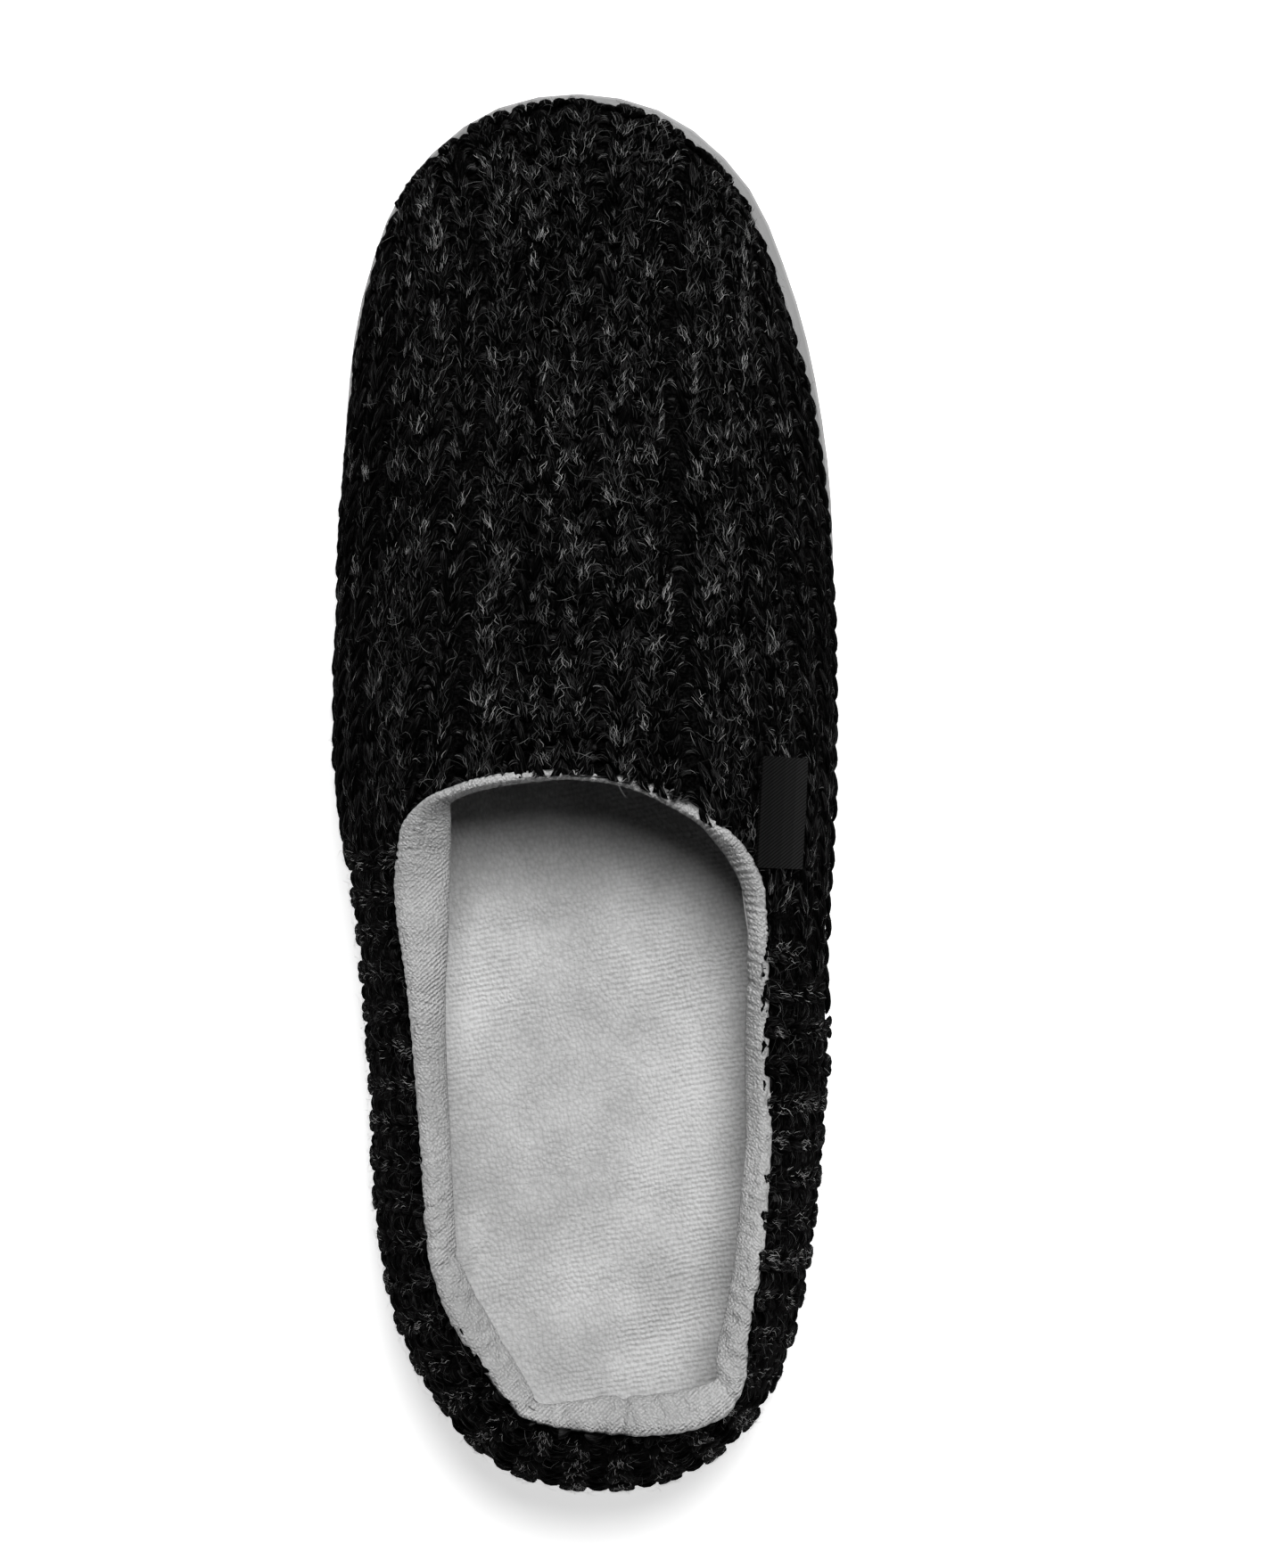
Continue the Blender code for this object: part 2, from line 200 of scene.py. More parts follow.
def makeYarnMaterial():
    made, tree, shader = newMaterial("melangeYarn")
    uv = addNode(tree, "ShaderNodeUVMap", (-1300, 0), uv_map="yarnUv")
    stretch = addNode(tree, "ShaderNodeMapping", (-1100, 0))
    stretch.inputs["Scale"].default_value = (yarn["fibreStretch"], 1, 1)
    fibres = addNode(tree, "ShaderNodeTexNoise", (-880, 120), Detail=3, Roughness=0.62, Distortion=0.9)
    fibres.inputs["Scale"].default_value = yarn["fibreScale"]
    clumps = addNode(tree, "ShaderNodeTexNoise", (-880, -160), Scale=0.55, Detail=2)
    gather = addNode(tree, "ShaderNodeMath", (-640, 0), operation="MULTIPLY_ADD")
    gather.inputs[1].default_value = 0.35
    stops = ((0.56, yarn["dark"]), (0.72, yarn["middle"]), (0.95, yarn["pale"]))
    split = addNode(tree, "ShaderNodeSeparateXYZ", (-880, 420))
    share = addNode(tree, "ShaderNodeMath", (-700, 420), operation="FRACT")
    # Painted light: a leg's fibres are painted paler at its point, partly for the fuzz there and partly
    # as a painted highlight, and darker along the dipping rest as painted shade
    point = addNode(tree, "ShaderNodeMapRange", (-520, 420))
    setInputs(
        point,
        {
            "From Min": yarn["point"][1],
            "From Max": yarn["point"][0],
            "To Min": -yarn["restPaintedShade"],
            "To Max": yarn["pointPalerFuzzAndHighlight"],
        },
    )
    fibreToneWithPaintedLight = addNode(tree, "ShaderNodeMath", (-540, 160), operation="ADD")
    wire(
        tree,
        (uv, "UV", split, "Vector"),
        (split, "Y", share, 0),
        (share, "Value", point, "Value"),
        (point, "Result", fibreToneWithPaintedLight, 1),
        (gather, "Value", fibreToneWithPaintedLight, 0),
        (uv, "UV", stretch, "Vector"),
        (stretch, "Vector", fibres, "Vector"),
        (uv, "UV", clumps, "Vector"),
        (clumps, "Fac", gather, 0),
        (fibres, "Fac", gather, 2),
    )
    colourFrom(tree, shader, fibreToneWithPaintedLight, "Value", stops)
    bumpFrom(tree, shader, fibres, "Fac", yarn["bump"], 0.6 * mm)
    setInputs(shader, {"Roughness": 0.95, "Specular IOR Level": 0.01})
    return made


def makeFuzzMaterial():
    made, tree, shader = newMaterial("looseFibres")
    uv = addNode(tree, "ShaderNodeUVMap", (-800, 0), uv_map="yarnUv")
    split = addNode(tree, "ShaderNodeSeparateXYZ", (-600, 0))
    wire(tree, (uv, "UV", split, "Vector"))
    colourFrom(tree, shader, split, "X", ((0.0, 0.006), (0.6, 0.08), (1.0, 0.40)))
    setInputs(shader, {"Roughness": 0.9, "Specular IOR Level": 0.02})
    return made


# Plush: pale grey short pile whose loops stand in rows, clearer in some patches than others
plush = {
    "light": 0.62,
    "shade": 0.40,
    "rowPitch": 1.05 * mm,
    "loopWidth": 0.8 * mm,
    "wander": 1.6 * mm,
}


def makePileGroup():
    group = bpy.data.node_groups.new("plushPile", "ShaderNodeTree")
    face = group.interface
    face.new_socket("Place", in_out="INPUT", socket_type="NodeSocketVector")
    for name in ("Row Depth", "Loop Depth", "Painted Shade Depth"):
        face.new_socket(name, in_out="INPUT", socket_type="NodeSocketFloat")
    for name in ("Height", "Tone"):
        face.new_socket(name, in_out="OUTPUT", socket_type="NodeSocketFloat")
    enter = addNode(group, "NodeGroupInput", (-1700, 0))
    leave = addNode(group, "NodeGroupOutput", (500, 0))
    drift = addNode(group, "ShaderNodeTexNoise", (-1500, -200), Scale=110, Detail=2)
    centred = addNode(group, "ShaderNodeVectorMath", (-1300, -200), operation="SUBTRACT")
    centred.inputs[1].default_value = (0.5, 0.5, 0.5)
    drifted = addNode(group, "ShaderNodeVectorMath", (-1120, -200), operation="SCALE")
    drifted.inputs["Scale"].default_value = plush["wander"]
    moved = addNode(group, "ShaderNodeVectorMath", (-940, 0), operation="ADD")
    loopSize = addNode(group, "ShaderNodeMapping", (-760, 160))
    perRow = 1 / plush["rowPitch"]
    loopSize.inputs["Scale"].default_value = (1 / plush["loopWidth"], perRow, perRow)
    loops = addNode(group, "ShaderNodeTexVoronoi", (-560, 160), Scale=1, Randomness=0.75)
    rows = addNode(group, "ShaderNodeTexWave", (-760, -160), Distortion=0.6, Detail=2)
    rows.inputs["Scale"].default_value = bandScale(plush["rowPitch"])
    rows.bands_direction = "Y"
    patches = addNode(group, "ShaderNodeTexNoise", (-760, -460), Scale=30, Detail=2)
    patchDepth = addNode(group, "ShaderNodeMapRange", (-560, -460))
    setInputs(patchDepth, {"From Min": 0.42, "From Max": 0.64})
    rowShare = addNode(group, "ShaderNodeMath", (-360, -200), operation="MULTIPLY")
    rowDepth = addNode(group, "ShaderNodeMath", (-180, -200), operation="MULTIPLY")
    loopDepth = addNode(group, "ShaderNodeMath", (-360, 160), operation="MULTIPLY")
    fibres = addNode(group, "ShaderNodeTexNoise", (-560, 420), Scale=3200, Detail=2, Roughness=0.7)
    fibreDepth = addNode(group, "ShaderNodeMath", (-180, 420), operation="MULTIPLY_ADD")
    fibreDepth.inputs[1].default_value = 0.7
    height = addNode(group, "ShaderNodeMath", (0, 0), operation="SUBTRACT")
    cloud = addNode(group, "ShaderNodeTexNoise", (-560, 700), Scale=42, Detail=4, Roughness=0.62)
    # The tone is a random cloud plus the pile's height, so the hollows between loops are painted darker
    # as painted shade
    tone = addNode(group, "ShaderNodeMath", (220, 300), operation="MULTIPLY_ADD")
    wire(
        group,
        (enter, "Place", drift, "Vector"),
        (drift, "Color", centred, 0),
        (centred, "Vector", drifted, 0),
        (enter, "Place", moved, 0),
        (drifted, "Vector", moved, 1),
        (moved, "Vector", loopSize, "Vector"),
        (loopSize, "Vector", loops, "Vector"),
        (moved, "Vector", rows, "Vector"),
        (enter, "Place", patches, "Vector"),
        (patches, "Fac", patchDepth, "Value"),
        (rows, "Fac", rowShare, 0),
        (patchDepth, "Result", rowShare, 1),
        (rowShare, "Value", rowDepth, 0),
        (enter, "Row Depth", rowDepth, 1),
        (loops, "Distance", loopDepth, 0),
        (enter, "Loop Depth", loopDepth, 1),
        (enter, "Place", fibres, "Vector"),
        (fibres, "Fac", fibreDepth, 0),
        (rowDepth, "Value", fibreDepth, 2),
        (fibreDepth, "Value", height, 0),
        (loopDepth, "Value", height, 1),
        (enter, "Place", cloud, "Vector"),
        (height, "Value", tone, 0),
        (enter, "Painted Shade Depth", tone, 1),
        (cloud, "Fac", tone, 2),
        (height, "Value", leave, "Height"),
        (tone, "Value", leave, "Tone"),
    )
    return group


pileGroup = makePileGroup()

# How the pile lies on each piece, with the turn of its rows in degrees
# The depth of tone from height sets how much darker the pile's hollows are painted, as painted shade
footbedPile = {
    "rowTurn": -10,
    "fineness": 1.0,
    "rowDepth": 0.36,
    "loopDepth": 0.9,
    "paintedShadeDepth": 0.32,
    "lighten": 1.09,
    "bump": 0.65,
}
rollPile = {
    "rowTurn": -42,
    "fineness": 1.5,
    "rowDepth": 0.4,
    "loopDepth": 1.0,
    "paintedShadeDepth": 0.6,
    "lighten": 1.1,
    "bump": 0.8,
}
liningPile = {
    "rowTurn": 82,
    "fineness": 1.0,
    "rowDepth": 0.4,
    "loopDepth": 0.5,
    "paintedShadeDepth": 0.26,
    # Painted shade: the lining is painted darker than the other plush, to stand for the shade inside
    # the upper
    "lighten": 0.55,
    "bump": 0.5,
}


def makePlushMaterial(name, look):
    made, tree, shader = newMaterial(name)
    place = addNode(tree, "ShaderNodeTexCoord", (-1300, 0))
    turn = addNode(tree, "ShaderNodeMapping", (-1100, 0))
    setInputs(
        turn,
        {
            "Rotation": (0, 0, math.radians(look["rowTurn"])),
            "Scale": (look["fineness"],) * 3,
        },
    )
    pile = addNode(tree, "ShaderNodeGroup", (-850, 0), node_tree=pileGroup)
    setInputs(
        pile,
        {
            "Row Depth": look["rowDepth"],
            "Loop Depth": look["loopDepth"],
            "Painted Shade Depth": look["paintedShadeDepth"],
        },
    )
    stops = ((0.30, plush["shade"] * look["lighten"]), (0.72, plush["light"] * look["lighten"]))
    wire(
        tree,
        (place, "Object", turn, "Vector"),
        (turn, "Vector", pile, "Place"),
    )
    # The colour follows the pile's tone, which holds painted shade in its hollows as well as random
    # tone
    colourFrom(tree, shader, pile, "Tone", stops)
    bumpFrom(tree, shader, pile, "Height", look["bump"], 0.7 * mm)
    setInputs(
        shader,
        {
            "Roughness": 0.95,
            "Specular IOR Level": 0.1,
            "Sheen Weight": 0.08,
            "Sheen Roughness": 0.5,
        },
    )
    return made


def makeSoleMaterial():
    made, tree, shader = newMaterial("mouldedSole")
    place = addNode(tree, "ShaderNodeTexCoord", (-900, 0))
    grain = addNode(tree, "ShaderNodeTexNoise", (-700, -200), Scale=2600, Detail=2)
    cloud = addNode(tree, "ShaderNodeTexNoise", (-700, 100), Scale=40, Detail=3)
    wire(
        tree,
        (place, "Object", grain, "Vector"),
        (place, "Object", cloud, "Vector"),
    )
    colourFrom(tree, shader, cloud, "Fac", ((0.3, 0.24), (0.7, 0.30)))
    bumpFrom(tree, shader, grain, "Fac", 0.25, 0.2 * mm)
    shader.inputs["Roughness"].default_value = 0.55
    return made


twillPitch = 0.55 * mm


def makeTwillMaterial():
    made, tree, shader = newMaterial("twillTape")
    place = addNode(tree, "ShaderNodeTexCoord", (-1100, 0))
    turn = addNode(tree, "ShaderNodeMapping", (-900, 0))
    turn.inputs["Rotation"].default_value = (0, 0, math.radians(52))
    lines = addNode(tree, "ShaderNodeTexWave", (-680, 0), Distortion=0.3)
    lines.inputs["Scale"].default_value = bandScale(twillPitch)
    wire(
        tree,
        (place, "Object", turn, "Vector"),
        (turn, "Vector", lines, "Vector"),
    )
    colourFrom(tree, shader, lines, "Fac", ((0.25, 0.0005), (0.9, 0.006)))
    bumpFrom(tree, shader, lines, "Fac", 0.5, 0.2 * mm)
    setInputs(shader, {"Roughness": 0.6, "Specular IOR Level": 0.05})
    return made


yarnMaterial = makeYarnMaterial()
fuzzMaterial = makeFuzzMaterial()
footbedMaterial = makePlushMaterial("plushFootbed", footbedPile)
rollMaterial = makePlushMaterial("plushRoll", rollPile)
liningPaintedShadeMaterial = makePlushMaterial("plushInsidePaintedShade", liningPile)
soleMaterial = makeSoleMaterial()
twillMaterial = makeTwillMaterial()
print("materials ready")


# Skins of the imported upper, which everything knitted is laid on
skinEdge = 0.8  # radians: the wall's two skins part where it turns by more than this
collarPoints = 900
collarBlur = 9
walk = {"stepsPerRow": 6, "most": 400, "offSkin": 0.2 * mm}


def looseCopy(node):
    shape = bmesh.new()
    shape.from_mesh(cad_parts[node].data)
    bmesh.ops.remove_doubles(shape, verts=shape.verts, dist=0.01 * mm)
    return shape


def splitSkins(node):
    shape = looseCopy(node)
    shape.faces.ensure_lookup_table()
    seen = set()
    groups = []
    for first in shape.faces:
        if first.index in seen:
            continue
        group, waiting = [], [first]
        seen.add(first.index)
        while waiting:
            face = waiting.pop()
            group.append(face)
            for edge in face.edges:
                if len(edge.link_faces) != 2 or edge.calc_face_angle(0) > skinEdge:
                    continue
                for other in edge.link_faces:
                    if other.index not in seen:
                        seen.add(other.index)
                        waiting.append(other)
        groups.append(group)
    groups.sort(key=lambda group: -sum(face.calc_area() for face in group))
    skins = []
    for group in groups[:2]:
        skin = bmesh.new()
        corners = {}
        for face in group:
            for vertex in face.verts:
                if vertex not in corners:
                    corners[vertex] = skin.verts.new(vertex.co)
            skin.faces.new([corners[vertex] for vertex in face.verts])
        bmesh.ops.triangulate(skin, faces=skin.faces)
        skin.normal_update()
        skin.verts.ensure_lookup_table()
        skin.faces.ensure_lookup_table()
        skins.append(skin)
    shape.free()
    return skins


def blurRound(values, reach):
    window = np.hanning(2 * reach + 3)[1:-1]
    window /= window.sum()
    wide = np.concatenate([values[-reach:], values, values[:reach]])
    columns = [np.convolve(wide[:, k], window, mode="valid") for k in range(values.shape[1])]
    return np.stack(columns, axis=1)


def evenlyRound(points, count):
    closed = np.vstack([points, points[:1]])
    steps = np.linalg.norm(np.diff(closed[:, :2], axis=0), axis=1)
    stations = np.concatenate([[0], np.cumsum(steps)])
    at = np.arange(count) * stations[-1] / count
    return np.column_stack([np.interp(at, stations, closed[:, k]) for k in range(points.shape[1])])


def smoothShare(values, low, high):
    share = np.clip((values - low) / (high - low), 0, 1)
    return share * share * (3 - 2 * share)


def collarLine(skin, count=collarPoints):
    loop = boundaryLoops(skin)[0]
    spots = np.array([skin.verts[k].co for k in loop])
    area = np.sum(spots[:, 0] * np.roll(spots[:, 1], -1) - np.roll(spots[:, 0], -1) * spots[:, 1])
    if area < 0:
        spots = spots[::-1]
    return blurRound(evenlyRound(spots, count), collarBlur)


def boundaryLoops(skin):
    links = {}
    for edge in skin.edges:
        if len(edge.link_faces) == 1:
            a, b = edge.verts
            links.setdefault(a.index, []).append(b.index)
            links.setdefault(b.index, []).append(a.index)
    loops = []
    while links:
        start = next(iter(links))
        loop, last, here = [start], None, start
        while True:
            nexts = [k for k in links[here] if k != last]
            last, here = here, nexts[0]
            if here == start:
                break
            loop.append(here)
        for k in loop:
            links.pop(k)
        loops.append(loop)
    return sorted(loops, key=lambda loop: -sum(skin.verts[k].co.z for k in loop) / len(loop))


# Points of the seam with the knit and of the roll's inner edge beside them, as seen from the
# camera, in mm, from the heel up the outer side, round the throat and down the inner side
seamAndEdge = (
    (8.7, -130.5, 7.8, -122.9),
    (16.6, -130.1, 14.2, -122.3),
    (22.6, -129.0, 19.6, -121.4),
    (28.7, -126.5, 24.2, -120.3),
    (31.4, -122.6, 26.2, -119.0),
    (32.6, -118.4, 26.4, -116.1),
    (32.9, -112.3, 26.7, -112.5),
    (34.1, -105.7, 28.4, -106.1),
    (35.3, -98.5, 29.8, -98.3),
    (36.4, -91.2, 30.7, -91.0),
    (37.8, -70.7, 32.7, -70.7),
    (37.1, -52.8, 32.4, -52.8),
    (37.1, -35.0, 32.9, -35.0),
    (36.9, -27.4, 33.0, -27.4),
    (36.3, -18.8, 32.2, -20.3),
    (34.7, -14.6, 30.9, -16.5),
    (32.1, -10.6, 28.7, -12.8),
    (29.1, -7.7, 26.2, -9.6),
    (24.6, -4.8, 23.5, -6.3),
    (20.0, -1.9, 19.1, -3.5),
    (14.2, 1.0, 13.5, -0.5),
    (8.4, 3.2, 7.8, 1.7),
    (3.1, 4.1, 2.7, 2.6),
    (-3.8, 4.8, -3.8, 3.2),
    (-12.0, 4.3, -11.8, 2.5),
    (-17.8, 3.7, -17.5, 1.7),
    (-23.5, 2.5, -22.9, 0.5),
    (-27.6, 1.0, -26.7, -1.0),
    (-31.7, -0.5, -27.8, -1.9),
    (-35.1, -3.4, -27.6, -4.3),
    (-37.2, -6.3, -27.6, -7.9),
    (-38.4, -12.6, -27.7, -13.0),
    (-38.9, -18.5, -27.8, -18.5),
    (-38.4, -24.8, -27.9, -24.8),
    (-37.2, -32.5, -28.2, -32.5),
    (-36.3, -38.6, -28.6, -38.6),
    (-35.4, -47.7, -28.6, -47.7),
    (-34.6, -57.9, -28.3, -57.9),
    (-33.8, -68.2, -27.7, -68.2),
    (-33.1, -79.8, -27.2, -79.8),
    (-32.7, -88.8, -26.7, -88.8),
    (-31.7, -95.5, -26.0, -94.9),
    (-29.8, -102.1, -23.3, -100.7),
    (-26.8, -108.8, -19.8, -107.0),
    (-23.2, -114.1, -16.4, -113.0),
    (-18.4, -120.8, -12.5, -119.4),
    (-15.1, -124.9, -10.0, -124.0),
    (-13.0, -127.4, -8.2, -124.7),
    (-5.1, -129.2, -3.5, -124.0),
    (2.7, -129.9, 3.8, -122.7),
)
seen = {
    "middle": (11.46 * mm, 2.18 * mm),
    "pixelsPerMm": 5.498,
    "seamShift": 1.1 * mm,  # how far the knit hides the plush beside its seam
    "lipShift": 0.75 * mm,  # and at the throat
    "throat": (-16 * mm, -4 * mm),
    "scallop": 0.2 * mm,
    "scallopAtThroat": 0.25,  # as a share of the others
    "scallopWaves": ((3.7 * mm, 1.0, 0.0), (2.3 * mm, 0.7, 1.0)),  # pitch, size and start
    "reach": 15 * mm,  # beyond this a spot has nothing to do with the seam
    "tuckWithin": 12 * mm,
}


def seenToPlan(spots, heights):
    shrink = 1 - (heights - camera["outlineHeight"]) / camera["distance"]
    scale = shrink * seen["pixelsPerMm"] / camera["pixelsPerMm"]
    middle = np.array((camera["middleX"], camera["middleY"]))
    return middle + (spots - np.array(seen["middle"])) * scale[:, None]


def rollLines():
    collar = collarLine(outerSkin)
    pairs = np.array(seamAndEdge) * mm
    nearest = [np.argmin(np.linalg.norm(collar[:, :2] - pair[:2], axis=1)) for pair in pairs]
    heights = collar[nearest, 2]
    seam = seenToPlan(pairs[:, :2], heights)
    edge = seenToPlan(pairs[:, 2:], heights)
    lines = blurRound(evenlyRound(np.column_stack([seam, heights, edge]), collarPoints), 6)
    inward = lines[:, 3:] - lines[:, :2]
    inward /= np.linalg.norm(inward, axis=1)[:, None]
    steps = np.linalg.norm(np.roll(lines, -1, axis=0)[:, :2] - lines[:, :2], axis=1)
    along = np.concatenate([[0], np.cumsum(steps)[:-1]])
    turns = along * 2 * math.pi
    scallops = sum(size * np.sin(turns / pitch + start) for pitch, size, start in seen["scallopWaves"])
    behind = 1 - smoothShare(lines[:, 1], *seen["throat"])
    shift = seen["lipShift"] + (seen["seamShift"] - seen["lipShift"]) * behind
    lines[:, :2] += inward * shift[:, None]
    least = seen["scallopAtThroat"]
    return lines, inward, seen["scallop"] * scallops * (least + (1 - least) * behind)


def pastSeam(points):
    spots = rollSeam[::3, :2]
    gaps = np.linalg.norm(points[:, None, :2] - spots[None], axis=2)
    nearest = gaps.argmin(axis=1)
    inward = rollInward[::3][nearest]
    depth = np.einsum("ij,ij->i", points[:, :2] - spots[nearest], inward) - rollScallop[::3][nearest]
    return np.where(gaps.min(axis=1) < seen["reach"], depth, -seen["reach"]), inward


def tuckUnder(points):
    if np.linalg.norm(rollSeam[::9, :2] - points[0, :2], axis=1).min() > seen["tuckWithin"]:
        return points
    depth, inward = pastSeam(points)
    past = np.clip(depth - knit["overRoll"], 0, None)
    points[:, :2] -= inward * past[:, None]
    points[:, 2] -= past
    return points


outerSkin, innerSkin = splitSkins("upper")
outerTree = BVHTree.FromBMesh(outerSkin)


def onSkin(point):
    spot, normal, index, gap = outerTree.find_nearest(Vector(point))
    corners = [vertex.co for vertex in outerSkin.faces[index].verts]
    normals = [vertex.normal for vertex in outerSkin.faces[index].verts]
    smooth = barycentric_transform(spot, *corners, *normals).normalized()
    return spot, smooth, gap


def walkOnSkin(start, heading, pitch, allowed, first=0.0):
    step = pitch / walk["stepsPerRow"]
    spot, normal, gap = onSkin(start)
    spots, normals = [spot], [normal]
    while len(spots) < walk["most"]:
        along = Vector(heading(spot))
        along -= normal * along.dot(normal)
        along.normalize()
        spot, normal, gap = onSkin(spot + along * step)
        if gap > walk["offSkin"] or not allowed(spot):
            break
        spots.append(spot)
        normals.append(normal)
    spots, normals = np.array(spots), np.array(normals)
    if len(spots) < 2:
        return spots[:1], normals[:1]
    stations = np.concatenate([[0], np.cumsum(np.linalg.norm(np.diff(spots, axis=0), axis=1))])
    count = max(round(stations[-1] / pitch + 0.5 - first), 1)
    wanted = (np.arange(count) + first) * stations[-1] / (count - 0.5 + first)
    both = np.hstack([spots, normals])
    rows = np.column_stack([np.interp(wanted, stations, both[:, k]) for k in range(6)])
    return rows[:, :3], rows[:, 3:]


rollSeam, rollInward, rollScallop = rollLines()
print("upper's skins found:", len(outerSkin.faces), "and", len(innerSkin.faces), "faces")


# Knit: columns of rib stitches, which run from toe to throat on the vamp and up from the sole
# on the quarters
knit = {
    "columnPitch": 8.9 * mm,
    "rowPitch": 4.85 * mm,
    "startY": 25 * mm,  # the section of the vamp where its columns are spaced out
    "toeFrom": 70 * mm,  # where the columns begin to turn down over the toe
    "toeTo": 141 * mm,
    "toeFall": (0.04, 1.3, 2.2),  # how they fall: at first, at the toe, and the power between
    "toePadding": 0.9 * mm,  # how much fuller the knit lies over the toe
    "paddingFrom": 95 * mm,
    "paddingTo": 125 * mm,
    "seamLeft": (-18 * mm, -8 * mm),  # the vamp's rear edge, at the sole and at the collar
    "seamRight": (-52 * mm, -19 * mm),
    "seamHeights": (20 * mm, 56 * mm),
    "collarPitch": 7.7 * mm,
    "sectionCore": 28 * mm,  # height from which a section of the vamp is felt for
    "sectionTurn": 125,
    "endRoom": 2 * mm,
    "quarterCentre": (2 * mm, -75 * mm),
    "leastSpacing": 0.5,  # columns that run together draw in to this share of their pitch
    "endSpacing": 0.56,  # and their stitches end at this share
    "mostSpacing": 1.05,
    "overCollar": 0.95,  # the most rows that a column goes on past its last, over the wall's edge
    "overRoll": 0.1 * mm,  # how far the knit's edge reaches over the plush
}
vampStitch = {
    "legRadius": 0.98 * mm,
    "legRows": 1.38,
    "legFrom": 0.42 * mm,
    "legTo": 2.5 * mm,
    "legFlat": 0.62,
    "legTop": 0.28 * mm,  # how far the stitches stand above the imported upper's face
    "legDip": 0.85 * mm,  # how far each leg's upper end sinks
    "purlRadius": 0.85 * mm,
    "purlHalf": 2.0 * mm,
    "purlTop": -0.55 * mm,
    "purlDip": 0.45 * mm,  # how much deeper every second arc lies
}
# Tighter on the quarters, where the ribs are low and round
quarterStitch = {
    "legRadius": 1.3 * mm,
    "legRows": 1.6,
    "legFrom": 0.5 * mm,
    "legTo": 1.9 * mm,
    "legFlat": 0.4,
    "legTop": 0.3 * mm,
    "legDip": 0.3 * mm,
    "purlRadius": 1.25 * mm,
    "purlHalf": 2.5 * mm,
    "purlTop": -0.2 * mm,
    "purlDip": 0.2 * mm,
}
legShape = {
    "firstRow": -0.45,  # where a leg starts, in rows from its own
    "spread": 0.9,
    "dipFrom": 0.3,
    "dipGrowth": 1.45,
    "dipPower": 1.7,
    "rootSink": 0.35 * mm,
    "rootShare": 0.22,
}
purlShape = {
    "bows": (-0.3, 0.24),  # how the whole arcs bow and how those between them do, in rows
    "bowMiddle": 0.4,
    "thickness": 0.8,
    "endDroop": 0.5 * mm,
}
# How far one stitch strays from the rule
stray = {
    "legLean": 0.22 * mm,
    "purlLean": 0.2 * mm,
    "lift": 0.12 * mm,
    "legSlide": 0.07,
    "purlSlide": 0.06,
    "swell": 0.07,
}


def seamY(spot):
    low, high = knit["seamHeights"]
    share = min(max((spot[2] - low) / (high - low), 0), 1)
    bottom, top = knit["seamLeft"] if spot[0] < 0 else knit["seamRight"]
    return bottom + (top - bottom) * share


def toeward(spot):
    share = min(max((spot[1] - knit["toeFrom"]) / (knit["toeTo"] - knit["toeFrom"]), 0), 1)
    first, most, power = knit["toeFall"]
    return (0, 1 - share * share, -first - most * share**power)


def heelward(spot):
    return (0, -1, 0.0)


def sectionAt(y):
    core = Vector((0, y, knit["sectionCore"]))
    spots = []
    for degrees in range(-knit["sectionTurn"], knit["sectionTurn"] + 1):
        turn = math.radians(degrees)
        away = Vector((math.sin(turn), 0, math.cos(turn)))
        hit = outerTree.ray_cast(core + away * 0.2, -away)[0]
        if hit is not None:
            spots.append(hit)
    return np.array(spots)


def spacedAlong(spots, pitch, middle=None):
    steps = np.linalg.norm(np.diff(spots, axis=0), axis=1)
    stations = np.concatenate([[0], np.cumsum(steps)])
    if middle is None:
        count = max(int(stations[-1] / pitch), 1)
        wanted = (np.arange(count) + 0.5) * stations[-1] / count
    else:
        centre = stations[middle]
        first = math.ceil((knit["endRoom"] - centre) / pitch)
        last = math.floor((stations[-1] - knit["endRoom"] - centre) / pitch)
        wanted = centre + np.arange(first, last + 1) * pitch
    return np.column_stack([np.interp(wanted, stations, spots[:, k]) for k in range(3)])


def beyondEdge(spots):
    end = spots[0] + (spots[0] - spots[1]) / 2
    if np.linalg.norm(collarSpots - end, axis=1).min() > 4 * mm:
        return 0.5
    gap = np.linalg.norm(rollSeam[:, :2] - end[:2], axis=1).min()
    return 0.5 + min((gap + knit["overRoll"]) / knit["rowPitch"], knit["overCollar"])


def vampColumns():
    section = sectionAt(knit["startY"])
    ridge = int(np.argmax(section[:, 2]))
    columns = []
    for seed in spacedAlong(section, knit["columnPitch"], ridge):
        ahead, aheadNormals = walkOnSkin(seed, toeward, knit["rowPitch"], lambda spot: True)
        behind, behindNormals = walkOnSkin(
            seed, heelward, knit["rowPitch"], lambda spot: spot[1] > seamY(spot)
        )
        spots = np.vstack([behind[:0:-1], ahead])
        normals = np.vstack([behindNormals[:0:-1], aheadNormals])
        if len(spots) > 2:
            columns.append((spots, normals, beyondEdge(spots)))
    return columns


def quarterColumns():
    line = collarLine(outerSkin)
    x, y = knit["quarterCentre"]
    turns = np.arctan2(line[:, 0] - x, line[:, 1] - y) % (2 * math.pi)
    line = line[np.argsort(turns)]
    line = line[[spot[1] < seamY(spot) - 0.5 * mm for spot in line]]
    columns = []
    for seed in spacedAlong(line, knit["collarPitch"]):
        spots, normals = walkOnSkin(
            seed, lambda spot: (0, 0, -1), knit["rowPitch"], lambda spot: spot[1] < seamY(spot), 0.5
        )
        if len(spots) > 1:
            columns.append((spots, normals, beyondEdge(spots)))
    return columns


